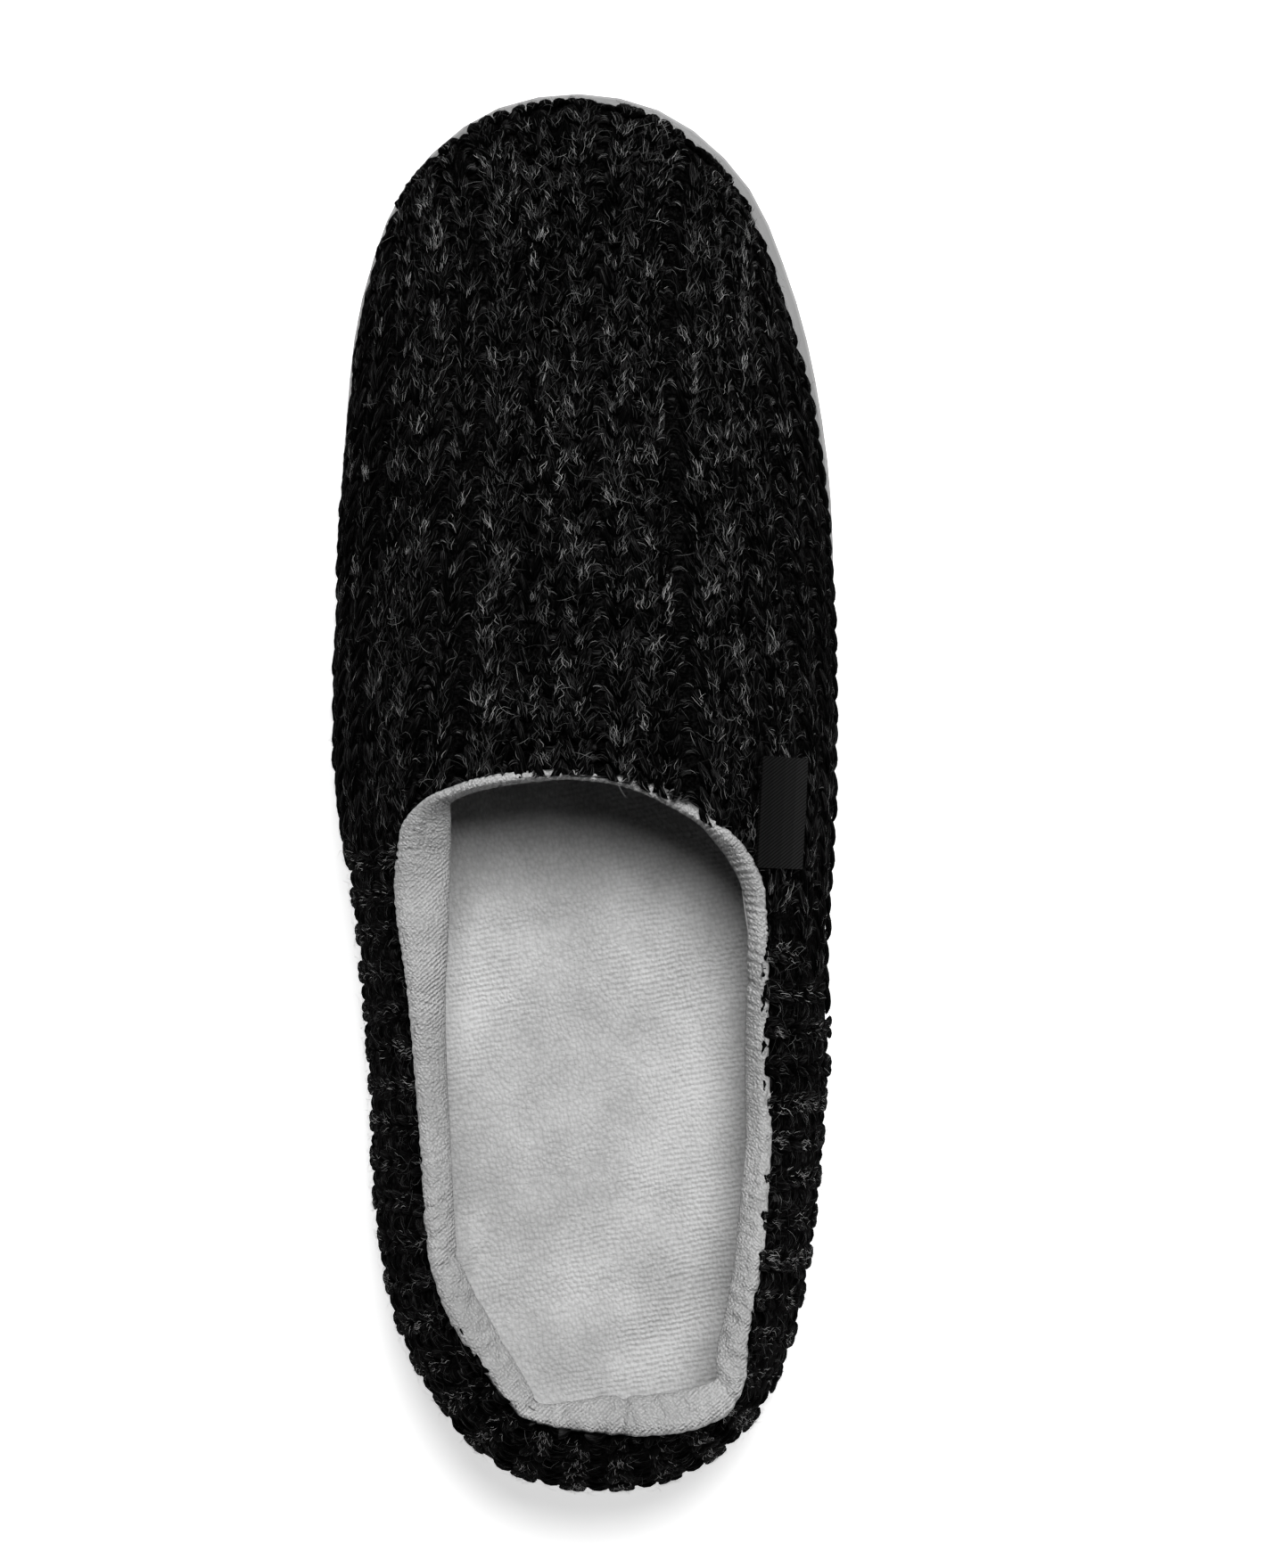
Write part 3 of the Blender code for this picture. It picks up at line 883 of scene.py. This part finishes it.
def yarnLobe(radius, length, segments, rings):
    bpy.ops.object.select_all(action="DESELECT")
    bpy.ops.mesh.primitive_uv_sphere_add(segments=segments, ring_count=rings, radius=1)
    lobe = bpy.context.object
    bpy.ops.object.mode_set(mode="EDIT")
    bpy.ops.mesh.select_all(action="SELECT")
    bpy.ops.transform.rotate(value=-math.pi / 2, orient_axis="X", center_override=(0, 0, 0))
    bpy.ops.transform.resize(value=(radius, length / 2, radius), center_override=(0, 0, 0))
    bpy.ops.object.mode_set(mode="OBJECT")
    points = np.array([vertex.co for vertex in lobe.data.vertices])
    faces = [tuple(face.vertices) for face in lobe.data.polygons]
    wraps = np.array([loop.uv for loop in lobe.data.uv_layers.active.data])
    bpy.data.objects.remove(lobe)
    return points, faces, wraps


def columnFrame(column, at):
    spots, normals, beyond = column
    rows = np.arange(len(spots))
    at = np.clip(at, -beyond, len(spots) - 0.42)
    place = np.column_stack([np.interp(at, rows, spots[:, k]) for k in range(3)])
    over = at - (len(spots) - 1)
    under = -at
    last = spots[-1] - spots[-2]
    first = spots[0] - spots[1]
    place += np.where(over > 0, over, 0)[:, None] * last
    place += np.where(under > 0, under, 0)[:, None] * first
    normal = np.column_stack([np.interp(at, rows, normals[:, k]) for k in range(3)])
    normal /= np.linalg.norm(normal, axis=1)[:, None]
    padded = smoothShare(place[:, 1], knit["paddingFrom"], knit["paddingTo"])
    place += normal * (knit["toePadding"] * padded)[:, None]
    gradient = np.gradient(spots, axis=0)
    along = np.column_stack([np.interp(at, rows, gradient[:, k]) for k in range(3)])
    across = np.cross(along, normal)
    across /= np.linalg.norm(across, axis=1)[:, None]
    return place, normal, across


def spacings(columns):
    result = []
    for k, (spots, normals, beyond) in enumerate(columns):
        nearest = np.full(len(spots), knit["columnPitch"])
        for other in (k - 1, k + 1):
            if 0 <= other < len(columns):
                gaps = np.linalg.norm(spots[:, None] - columns[other][0][None], axis=2)
                nearest = np.minimum(nearest, gaps.min(axis=1))
        result.append(np.clip(nearest / knit["columnPitch"], knit["leastSpacing"], knit["mostSpacing"]))
    return result


def rowsOf(column):
    return range(-1 if column[2] > 0.5 else 0, len(column[0]))


def addPiece(name, mesh):
    piece = bpy.data.objects.new(name, mesh)
    bpy.context.scene.collection.objects.link(piece)
    bpy.ops.object.select_all(action="DESELECT")
    bpy.context.view_layer.objects.active = piece
    piece.select_set(True)
    return piece


def joinedMesh(name, parts, material):
    points = np.concatenate([part[0] for part in parts])
    faces, wraps, base = [], [], 0
    for place, corners, wrap in parts:
        faces.extend([tuple(k + base for k in face) for face in corners])
        wraps.append(wrap)
        base += len(place)
    mesh = bpy.data.meshes.new(name)
    mesh.from_pydata(points.tolist(), [], faces)
    layer = mesh.uv_layers.new(name="yarnUv")
    layer.data.foreach_set("uv", np.concatenate(wraps).astype(np.float32).ravel())
    mesh.shade_smooth()
    mesh.materials.append(material)
    piece = addPiece(name, mesh)
    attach(piece, "root")


def legLine(share, stitch):
    share = np.clip(share, 0, 1)
    across = stitch["legFrom"] + (stitch["legTo"] - stitch["legFrom"]) * share ** legShape["spread"]
    at = legShape["firstRow"] + share * stitch["legRows"]
    top = stitch["legTop"] - stitch["legRadius"] * stitch["legFlat"]
    dip = (np.clip(share - legShape["dipFrom"], 0, 1) * legShape["dipGrowth"]) ** legShape["dipPower"]
    root = np.clip(legShape["rootShare"] - share, 0, 1) / legShape["rootShare"]
    return across, at, top - stitch["legDip"] * dip - legShape["rootSink"] * root


def ribStitches(name, columns, stitch, segments, rings):
    legLength = stitch["legRows"] * knit["rowPitch"]
    points, faces, wraps = yarnLobe(stitch["legRadius"], legLength, segments, rings)
    share = points[:, 1] / legLength + 0.5
    line, row, rise = legLine(share, stitch)
    wide = spacings(columns)
    strays = (stray["legLean"], stray["lift"], stray["legSlide"], stray["swell"])
    parts, legs = [], []
    for k, column in enumerate(columns):
        for j in rowsOf(column):
            scale = wide[k][max(j, 0)]
            if scale < knit["endSpacing"]:
                continue
            lean, lift, slide, swell = chance.normal(0, 1, 4) * strays
            for side in (-1, 1):
                across = (side * line + points[:, 0] * (1 + swell)) * scale + lean
                height = rise + points[:, 2] * (1 + swell) * stitch["legFlat"] + lift
                place, normal, sideways = columnFrame(column, j + slide + row)
                made = place + sideways * across[:, None] + normal * height[:, None]
                made = tuckUnder(made)
                parts.append((made, faces, wraps * (1.2, 0.998) + chance.integers(0, 60, 2)))
                legs.append((k, j + slide, side, scale, lean, lift))
    joinedMesh(name, parts, yarnMaterial)
    return legs


def purlArc(share, half):
    bow = purlShape["bows"][1 if half else 0]
    return half + bow * (share**2 - purlShape["bowMiddle"])


def purlBumps(name, columns, stitch, segments, rings):
    points, faces, wraps = yarnLobe(stitch["purlRadius"], 2 * stitch["purlHalf"], segments, rings)
    share = points[:, 1] / stitch["purlHalf"]
    wide = spacings(columns)
    thick = purlShape["thickness"]
    strays = (stray["purlLean"], stray["lift"], stray["purlSlide"])
    parts, arcs = [], []
    for k, column in enumerate(columns):
        for j in rowsOf(column):
            scale = wide[k][max(j, 0)]
            for side in (-1, 1) if k == 0 else (1,):
                for half in (0.0, 0.5):
                    lean, lift, slide = chance.normal(0, 1, 3) * strays
                    middle = side * knit["columnPitch"] / 2 * scale + lean
                    across = middle + points[:, 1] * scale
                    at = j + slide + purlArc(share, half) + points[:, 0] / knit["rowPitch"] * thick
                    dip = stitch["purlDip"] if half else 0
                    top = stitch["purlTop"] - stitch["purlRadius"] * thick - dip
                    height = points[:, 2] * thick + top + lift - purlShape["endDroop"] * share**2
                    place, normal, sideways = columnFrame(column, at)
                    made = place + sideways * across[:, None] + normal * height[:, None]
                    made = tuckUnder(made)
                    parts.append((made, faces, wraps * (1.2, 1.0) + chance.uniform(0, 40, 2)))
                    if not half:
                        arcs.append((k, j + slide, middle, scale, lift))
    joinedMesh(name, parts, yarnMaterial)
    return arcs


collarSpots = collarLine(outerSkin)
vamp = vampColumns()
quarters = quarterColumns()
print("vamp columns:", len(vamp), "quarter columns:", len(quarters))
vampLegs = ribStitches("vampRibs", vamp, vampStitch, segments=8, rings=7)
quarterLegs = ribStitches("quarterRibs", quarters, quarterStitch, segments=8, rings=8)
vampArcs = purlBumps("vampPurls", vamp, vampStitch, segments=6, rings=5)
quarterArcs = purlBumps("quarterPurls", quarters, quarterStitch, segments=8, rings=6)
print("knit stitches laid")


# Fuzz: fibres that lie along the yarn, and a few that stray across it
fuzz = {
    "length": (0.7 * mm, 2.3 * mm),
    "strayLength": (1.5 * mm, 5 * mm),
    "width": 0.07 * mm,
    "bends": 3,
    "patchiness": 1.6,  # the lower, the more one leg's fibres differ from the next leg's
    "mostPale": 2.2,
    "start": (1.3, 2.4),  # most fibres start low on their leg
    "startWithin": 0.75,
    "legTurn": (15, 165),
    "drift": 0.26,
    "curl": 0.16,
    "stand": 0.12,
    "clear": 0.05 * mm,
    "strayCurl": 1.1,
    "strayReach": 2.4 * mm,
    # Painted light: fibres on the heel, behind the first of these places, are painted paler by the
    # second, because the heel faces away from the key light
    "heelPaintedLightFrom": -108 * mm,
    "heelPaintedLight": 1.7,
}
vampFuzz = {"perLeg": 10.5, "perArc": 4.5, "strays": 0.12, "pale": 0.92}
# The quarters' fibres are paler than the vamp's, in part as painted light that lifts the shaded heel
quarterFuzz = {"perLeg": 7.0, "perArc": 2.4, "strays": 0.6, "pale": 1.3}


def fibreRibbon(path, normals, width, tone, ribbons):
    points, faces, wraps = ribbons
    runs = np.gradient(path, axis=0)
    flat = np.cross(runs, normals)
    flat /= np.linalg.norm(flat, axis=1)[:, None]
    bends = len(path) - 1
    taper = np.array([0.5] + [1.0] * (bends - 1) + [0.3]) * width / 2
    base = len(points) * 2 * len(path)
    points.append(np.vstack([path - flat * taper[:, None], path + flat * taper[:, None]]))
    for k in range(bends):
        faces.append((base + k, base + k + 1, base + bends + 2 + k, base + bends + 1 + k))
        wraps.extend([(tone, k), (tone, k + 1), (tone, k + 1), (tone, k)])


def legFibres(columns, legs, stitch, amount, ribbons):
    steps = np.linspace(0, 1, fuzz["bends"] + 1)
    legLength = stitch["legRows"] * knit["rowPitch"]
    for k, row, side, scale, lean, lift in legs:
        paleness = chance.gamma(fuzz["patchiness"], 1 / fuzz["patchiness"])
        for number in range(chance.poisson(amount["perLeg"] * min(paleness, fuzz["mostPale"]))):
            length = chance.uniform(*fuzz["length"])
            first = chance.beta(*fuzz["start"]) * fuzz["startWithin"]
            line, at, rise = legLine(first + steps * length / legLength, stitch)
            turn = math.radians(chance.uniform(*fuzz["legTurn"]))
            drift = chance.normal(0, fuzz["drift"]) * length * steps
            bend = chance.normal(0, fuzz["curl"]) * length
            curl = bend * np.sin(steps * math.pi * chance.uniform(0.8, 1.8))
            stand = fuzz["clear"] + abs(chance.normal(0, fuzz["stand"])) * length * steps
            across = side * line + stitch["legRadius"] * math.cos(turn) * 0.9 + drift + curl
            height = rise + stitch["legRadius"] * stitch["legFlat"] * math.sin(turn) + stand + lift
            place, normal, sideways = columnFrame(columns[k], row + at)
            path = place + sideways * (across * scale + lean)[:, None] + normal * height[:, None]
            tone = chance.beta(1.6, 2.6) * (0.7 + 0.3 * paleness) * amount["pale"]
            # painted light: the heel's fibres are made paler to lift the heel out of its shade
            tone = min(tone * (fuzz["heelPaintedLight"] if place[0, 1] < fuzz["heelPaintedLightFrom"] else 1), 1)
            fibreRibbon(path, normal, fuzz["width"] * chance.uniform(0.6, 1.3), tone, ribbons)


def arcFibres(columns, arcs, stitch, amount, ribbons):
    steps = np.linspace(0, 1, fuzz["bends"] + 1)
    for k, row, middle, scale, lift in arcs:
        for number in range(chance.poisson(amount["perArc"])):
            share = chance.uniform(-0.8, 0.1) + steps * chance.uniform(0.5, 0.9)
            at = purlArc(share, 0) + chance.normal(0, 0.08)
            across = middle + share * stitch["purlHalf"] * scale
            height = stitch["purlTop"] + lift - purlShape["endDroop"] * share**2
            height = height + fuzz["clear"] + chance.uniform(0, 0.25 * mm) * steps
            place, normal, sideways = columnFrame(columns[k], row + at)
            path = place + sideways * across[:, None] + normal * height[:, None]
            tone = chance.beta(1.4, 2.6)
            fibreRibbon(path, normal, fuzz["width"] * chance.uniform(0.6, 1.2), tone, ribbons)


def strayFibres(columns, legs, amount, ribbons):
    for number in range(int(len(legs) * amount["perLeg"] * amount["strays"])):
        k, row, side, scale, lean, lift = legs[chance.integers(len(legs))]
        place, normal, sideways = [rows[0] for rows in columnFrame(columns[k], np.array([row]))]
        along = np.cross(normal, sideways)
        turn = chance.uniform(0, 2 * math.pi)
        curl = chance.normal(0, fuzz["strayCurl"])
        length = chance.uniform(*fuzz["strayLength"])
        here = place + sideways * chance.normal(0, fuzz["strayReach"])
        here = here + normal * chance.uniform(0.1, 0.4) * mm
        path = [here]
        for bend in range(fuzz["bends"]):
            turn += curl / fuzz["bends"]
            step = along * math.cos(turn) + sideways * math.sin(turn) + normal * (0.28 - 0.2 * bend)
            here = here + step * (length / fuzz["bends"])
            path.append(here)
        normals = np.tile(normal, (len(path), 1))
        fibreRibbon(np.array(path), normals, fuzz["width"] * 0.7, chance.beta(1.6, 3), ribbons)


def fibresAlong(name, columns, legs, arcs, stitch, amount):
    ribbons = ([], [], [])
    legFibres(columns, legs, stitch, amount, ribbons)
    arcFibres(columns, arcs, stitch, amount, ribbons)
    strayFibres(columns, legs, amount, ribbons)
    points, faces, wraps = ribbons
    joinedMesh(name, [(np.concatenate(points), faces, np.array(wraps, float))], fuzzMaterial)


fibresAlong("vampFuzz", vamp, vampLegs, vampArcs, vampStitch, vampFuzz)
fibresAlong("quarterFuzz", quarters, quarterLegs, quarterArcs, quarterStitch, quarterFuzz)
print("fuzz laid")


# Ground under the stitches, which closes the wall
collarInside = collarLine(innerSkin, 300)
ground = {
    "collarBack": 2.2 * mm,  # near the collar its inner side stands back this far
    "collarReach": 14 * mm,
    "sink": 2.6 * mm,  # how much lower it lies under the plush collar
    "sinkDepths": (-3.5 * mm, -1 * mm),  # depths past the seam between which it sinks
    "inset": (0.75 * mm, 1.15 * mm),  # under the quarters' stitches and under the vamp's
    "onSkin": 0.05 * mm,
}


def makeGroundMaterial():
    made, tree, shader = newMaterial("knitGround")
    place = addNode(tree, "ShaderNodeTexCoord", (-900, 0))
    fibres = addNode(tree, "ShaderNodeTexNoise", (-700, 0), Scale=1500, Detail=3, Roughness=0.7)
    wire(tree, (place, "Object", fibres, "Vector"))
    colourFrom(tree, shader, fibres, "Fac", ((0.45, 0.0006), (0.75, 0.008)))
    bumpFrom(tree, shader, fibres, "Fac", 0.6, 0.5 * mm)
    setInputs(shader, {"Roughness": 0.95, "Specular IOR Level": 0.01})
    return made


def standBack(spot):
    gap = np.linalg.norm(collarInside - np.array(spot), axis=1).min()
    return ground["collarBack"] * max(0, 1 - gap / ground["collarReach"])


def makeGround():
    shape = looseCopy("upper")
    shape.normal_update()
    innerTree = BVHTree.FromBMesh(innerSkin)
    for vertex in shape.verts:
        if outerTree.find_nearest(vertex.co)[3] < ground["onSkin"]:
            low, deep = ground["inset"]
            share = smoothShare(vertex.co.y - seamY(vertex.co), -6 * mm, 6 * mm)
            vertex.co = vertex.co - onSkin(vertex.co)[1] * (low + (deep - low) * share)
        elif innerTree.find_nearest(vertex.co)[3] < ground["onSkin"]:
            vertex.co = vertex.co - innerTree.find_nearest(vertex.co)[1] * standBack(vertex.co)
    depths = pastSeam(np.array([vertex.co for vertex in shape.verts]))[0]
    for vertex, depth in zip(shape.verts, depths):
        vertex.co.z -= ground["sink"] * smoothShare(depth, *ground["sinkDepths"])
    mesh = bpy.data.meshes.new("knitGround")
    shape.to_mesh(mesh)
    shape.free()
    mesh.shade_smooth()
    mesh.materials.append(makeGroundMaterial())
    piece = addPiece("knitGround", mesh)
    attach(piece, "root")
    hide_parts("upper")


makeGround()
print("ground laid")


# Plush lining on the inside of the upper
lining = {
    "offset": 0.35 * mm,
    "intoRoll": 3.4 * mm,  # how far it runs up under the roll, except at the throat
    "throat": (-22 * mm, -10 * mm),
    "leastInto": 0.1 * mm,
}


def applyModifier(piece, kind, **settings):
    modifier = piece.modifiers.new(kind.lower(), kind)
    for key, value in settings.items():
        setattr(modifier, key, value)
    bpy.ops.object.modifier_apply(modifier=modifier.name)


def makeLining():
    shape = innerSkin.copy()
    shape.normal_update()
    shape.verts.ensure_lookup_table()
    rim = set(boundaryLoops(shape)[0])
    upward = {}
    for k in rim:
        vertex = shape.verts[k]
        others = [edge.other_vert(vertex) for edge in vertex.link_edges]
        below = [other.co for other in others if other.index not in rim]
        upward[k] = (vertex.co - sum(below, Vector()) / len(below)).normalized()
    for vertex in shape.verts:
        vertex.co += vertex.normal * (lining["offset"] - standBack(vertex.co))
    rimEdges = [e for e in shape.edges if len(e.link_faces) == 1 and e.verts[0].index in rim]
    grown = bmesh.ops.extrude_edge_only(shape, edges=rimEdges)["geom"]
    for vertex in [part for part in grown if isinstance(part, bmesh.types.BMVert)]:
        beside = [edge.other_vert(vertex) for edge in vertex.link_edges]
        below = min(beside, key=lambda other: (other.co - vertex.co).length)
        behind = 1 - smoothShare(vertex.co.y, *lining["throat"])
        vertex.co += upward[below.index] * (lining["intoRoll"] * behind + lining["leastInto"])
    mesh = bpy.data.meshes.new("plushLining")
    shape.to_mesh(mesh)
    shape.free()
    mesh.shade_smooth()
    mesh.materials.append(liningPaintedShadeMaterial)
    piece = addPiece("plushLining", mesh)
    applyModifier(piece, "SUBSURF", levels=1, render_levels=1)
    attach(piece, "root")


makeLining()
print("lining laid")


# Collar roll: the plush rolled over the padded edge and gathered into the seam with the knit
roll = {
    "gatherPitch": 1.5 * mm,
    "gatherDepth": 0.85 * mm,
    "loop": 0.85 * mm,  # height of the pile's soft loops
    "loopPitch": 1.9 * mm,
    "gatherReach": (2.4 * mm, 4.8 * mm),  # gathers are full up to here and gone beyond
    "gatherBack": (-30 * mm, -62 * mm),  # and they fade out between these places
    "loopsBehind": (-84 * mm, -58 * mm),  # the loops show behind these places
    "lump": 0.12 * mm,
    "lumps": ((23, 0.4), (37, 2.0), (58, 4.1)),  # lumps round the collar, with where they start
    "overWall": -0.8 * mm,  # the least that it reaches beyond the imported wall's inner edge
    "tuck": (1.3 * mm, 1.7 * mm),  # how far the roll's foot goes back and down under the knit
    "sectionTurns": (*range(100, 3, -8), -6, -18, -32, -48, -66, -84),
    "foot": (84.2, 16),  # turn above which it is tucked in, and over how many degrees
    "section": (0.78, 0.85),  # powers that square its section across and up
    "probes": (0.1, 0.25, 0.4, 0.55, 0.7, 0.85),  # shares of its width where the solid is felt for
    "plain": (2.6 * mm, 2.7 * mm),  # drop and half height where the solid isn't felt
    "wallBeside": 0.7 * mm,
    "wallNear": 15 * mm,
}
# Creases across the roll, from one place to another in plan, with their width and depth, in mm
rollCreases = (
    (7.7, -127.6, 8.1, -116.0, 0.8, 1.0),
    (-8.6, -120.6, -11.6, -124.4, 0.9, 1.1),
    (-2.6, -120.6, 1.6, -119.9, 0.9, 0.6),
    (25.2, -115.4, 28.6, -120.2, 1.5, 0.8),
    (16.6, -118.0, 18.1, -121.5, 1.4, 0.5),
    (-24.6, -92.2, -27.6, -95.2, 1.2, 0.7),
    (32.4, -38.0, 36.2, -41.4, 0.9, 0.5),
    (-15.4, -109.0, -19.4, -111.8, 1.3, 0.35),
    (12.0, -118.4, 12.8, -121.8, 1.2, 0.35),
    (21.0, -117.2, 22.0, -120.6, 1.2, 0.35),
    (-21.5, -101.0, -24.0, -103.2, 1.2, 0.4),
    (-5.6, -121.0, -6.0, -124.2, 1.1, 0.35),
)


def segmentGap(points, a, b):
    along = b - a
    share = np.clip(((points - a) @ along) / (along @ along), 0, 1)
    return np.linalg.norm(points - a - share[:, None] * along, axis=1)


def rollHeights(seam, edge):
    shape = looseCopy("collar_roll")
    tree = BVHTree.FromBMesh(shape)
    rows = []
    for spot, inner in zip(seam, edge):
        middles, halves, shares = [], [], []
        for share in roll["probes"]:
            x, y = spot[:2] + (inner - spot[:2]) * share
            top = tree.ray_cast(Vector((x, y, 0.2)), Vector((0, 0, -1)))[0]
            under = tree.ray_cast(Vector((x, y, -0.2)), Vector((0, 0, 1)))[0]
            if top is not None and under is not None:
                middles.append((top.z + under.z) / 2)
                halves.append((top.z - under.z) / 2 / math.sqrt(1 - share**2))
                shares.append(share)
        if len(shares) > 1:
            slope, start = np.polyfit(shares, middles, 1)
            rows.append((start, slope, np.median(halves)))
        else:
            rows.append((spot[2] - roll["plain"][0], 0, roll["plain"][1]))
    shape.free()
    return blurRound(np.array(rows), 12)


def loopNoise(plan):
    scale = 1 / roll["loopPitch"]
    return np.array([noise.noise(Vector((x * scale, y * scale, 0))) for x, y in plan])


def rollWidths(seam, edge):
    across = edge - seam[:, :2]
    widths = np.linalg.norm(across, axis=1)
    across /= widths[:, None]
    wall = collarLine(innerSkin)[:, :2]
    for k in range(len(seam)):
        away = wall - seam[k, :2]
        beside = np.abs(away @ np.array((-across[k, 1], across[k, 0]))) < roll["wallBeside"]
        near = beside & (np.linalg.norm(away, axis=1) < roll["wallNear"])
        if near.any():
            widths[k] = max(widths[k], (away[near] @ across[k]).max() + roll["overWall"])
    return across, blurRound(widths[:, None], 2)[:, 0]


def gathers(along, reach, turn):
    fade = 1 - smoothShare(reach, *roll["gatherReach"])
    phase = (along - reach * 0.45) / roll["gatherPitch"] * math.pi
    phase = phase + 0.8 * np.sin(phase * 0.31) + 0.5 * np.sin(phase * 0.173 + 1)
    folds = np.abs(np.sin(phase)) ** 0.7 - 0.6
    front, back = roll["gatherBack"]
    gathered = 0.25 + 0.75 * smoothShare(rollSeam[:, 1], back, front)
    return roll["gatherDepth"] * folds * fade * gathered * min(1, math.sin(turn) * 1.6)


def rollPuff(plan, along, reach, turn):
    puff = np.zeros(len(plan))
    if turn > 0:
        turns = np.arange(len(plan)) * 2 * math.pi / len(plan)
        lumps = sum(np.sin(turns * number + start) for number, start in roll["lumps"]) / 2
        looped = 1 - smoothShare(rollSeam[:, 1], *roll["loopsBehind"])
        puff += gathers(along, reach, turn)
        puff += roll["lump"] * lumps * math.sin(turn)
        puff += roll["loop"] * looped * loopNoise(plan) * math.sin(turn)
    if turn > -0.4:
        for x1, y1, x2, y2, width, depth in rollCreases:
            gap = segmentGap(plan, np.array((x1, y1)) * mm, np.array((x2, y2)) * mm)
            puff -= depth * mm * np.exp(-((gap / (width * mm)) ** 2))
    return puff


def makeRoll():
    seam, edge = rollSeam[:, :3], rollSeam[:, 3:]
    heights = rollHeights(seam, edge)
    across, widths = rollWidths(seam, edge)
    steps = np.linalg.norm(np.roll(seam, -1, axis=0) - seam, axis=1)
    along = np.concatenate([[0], np.cumsum(steps)[:-1]])
    back, down = roll["tuck"]
    rings = []
    for degrees in roll["sectionTurns"]:
        turn = math.radians(degrees)
        out = max(math.cos(turn), 0) ** roll["section"][0]
        lift = math.copysign(abs(math.sin(turn)) ** roll["section"][1], turn)
        reach = out * widths
        z = heights[:, 0] + heights[:, 1] * out + heights[:, 2] * lift
        if degrees > roll["foot"][0]:
            sunk = (degrees - roll["foot"][0]) / roll["foot"][1]
            reach = reach - back * sunk
            z = z - down * sunk**2
        shift = reach + rollScallop * np.exp(-np.abs(reach) / (1.2 * mm))
        plan = seam[:, :2] + across * shift[:, None]
        puff = rollPuff(plan, along, reach, turn)
        plan = plan + across * (puff * math.cos(turn) * 0.7)[:, None]
        z = z + puff * max(math.sin(turn), 0.15)
        rings.append(np.column_stack([plan, z]))
    points = np.concatenate(rings)
    count, faces = len(seam), []
    for k in range(len(rings)):
        n = (k + 1) % len(rings)
        for i in range(count):
            j = (i + 1) % count
            faces.append((k * count + i, k * count + j, n * count + j, n * count + i))
    mesh = bpy.data.meshes.new("plushCollar")
    mesh.from_pydata(points.tolist(), [], faces)
    mesh.shade_smooth()
    mesh.materials.append(rollMaterial)
    piece = addPiece("plushCollar", mesh)
    bpy.ops.object.mode_set(mode="EDIT")
    bpy.ops.mesh.select_all(action="SELECT")
    bpy.ops.mesh.normals_make_consistent(inside=False)
    bpy.ops.object.mode_set(mode="OBJECT")
    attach(piece, "root")
    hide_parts("collar_roll")


makeRoll()
print("collar rolled")


# Footbed: a soft plush pad with the dents of wear
footbed = {
    "voxel": 2.0 * mm,
    "softenings": 4,
    "bank": (0.5, 1.4),  # a dent's low bank: its share of the depth, and how far out it lies
    "dents": (  # x, y, turn in degrees, half length, half width and depth, in mm
        (-9, -27, 15, 9, 3, 0.8),
        (-6, -36, 60, 6, 2.5, 0.6),
        (-16, -45, -20, 10, 4, 0.5),
        (8, -62, 70, 12, 4, 0.6),
        (-4, -78, 20, 14, 5, 0.6),
        (-22, -97, 60, 7, 2.5, 0.8),
        (12, -84, -30, 9, 4, 0.5),
        (-2, -104, 10, 12, 4, 0.6),
        (14, -112, 20, 9, 3.5, 0.5),
        (18, -40, -60, 10, 4, 0.5),
        (-14, -66, 40, 8, 3, 0.5),
        (3, -14, 0, 14, 5, 0.5),
    ),
}


def makeFootbed():
    shape = looseCopy("insole")
    mesh = bpy.data.meshes.new("plushFootbed")
    shape.to_mesh(mesh)
    shape.free()
    piece = addPiece("plushFootbed", mesh)
    applyModifier(piece, "REMESH", mode="VOXEL", voxel_size=footbed["voxel"])
    applyModifier(piece, "SMOOTH", iterations=footbed["softenings"])
    places = np.array([vertex.co for vertex in piece.data.vertices])
    upward = np.array([max(vertex.normal.z, 0) for vertex in piece.data.vertices])
    drop = np.zeros(len(places))
    share, out = footbed["bank"]
    for x, y, turn, half, wide, deep in footbed["dents"]:
        angle = math.radians(turn)
        east, north = places[:, 0] - x * mm, places[:, 1] - y * mm
        along = (east * math.cos(angle) + north * math.sin(angle)) / (half * mm)
        across = (north * math.cos(angle) - east * math.sin(angle)) / (wide * mm)
        profile = np.exp(-(across**2)) - share * np.exp(-((across - out) ** 2))
        drop -= deep * mm * np.exp(-(along**2)) * profile
    places[:, 2] += drop * upward
    piece.data.vertices.foreach_set("co", places.ravel())
    piece.data.shade_smooth()
    piece.data.materials.clear()
    piece.data.materials.append(footbedMaterial)
    applyModifier(piece, "SUBSURF", levels=1, render_levels=1)
    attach(piece, "root")
    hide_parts("insole")


makeFootbed()
print("footbed laid")


# Sole and label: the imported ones, in moulded rubber and twill
for node, material in (("outsole", soleMaterial), ("label_tab", twillMaterial)):
    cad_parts[node].data.materials.clear()
    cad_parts[node].data.materials.append(material)
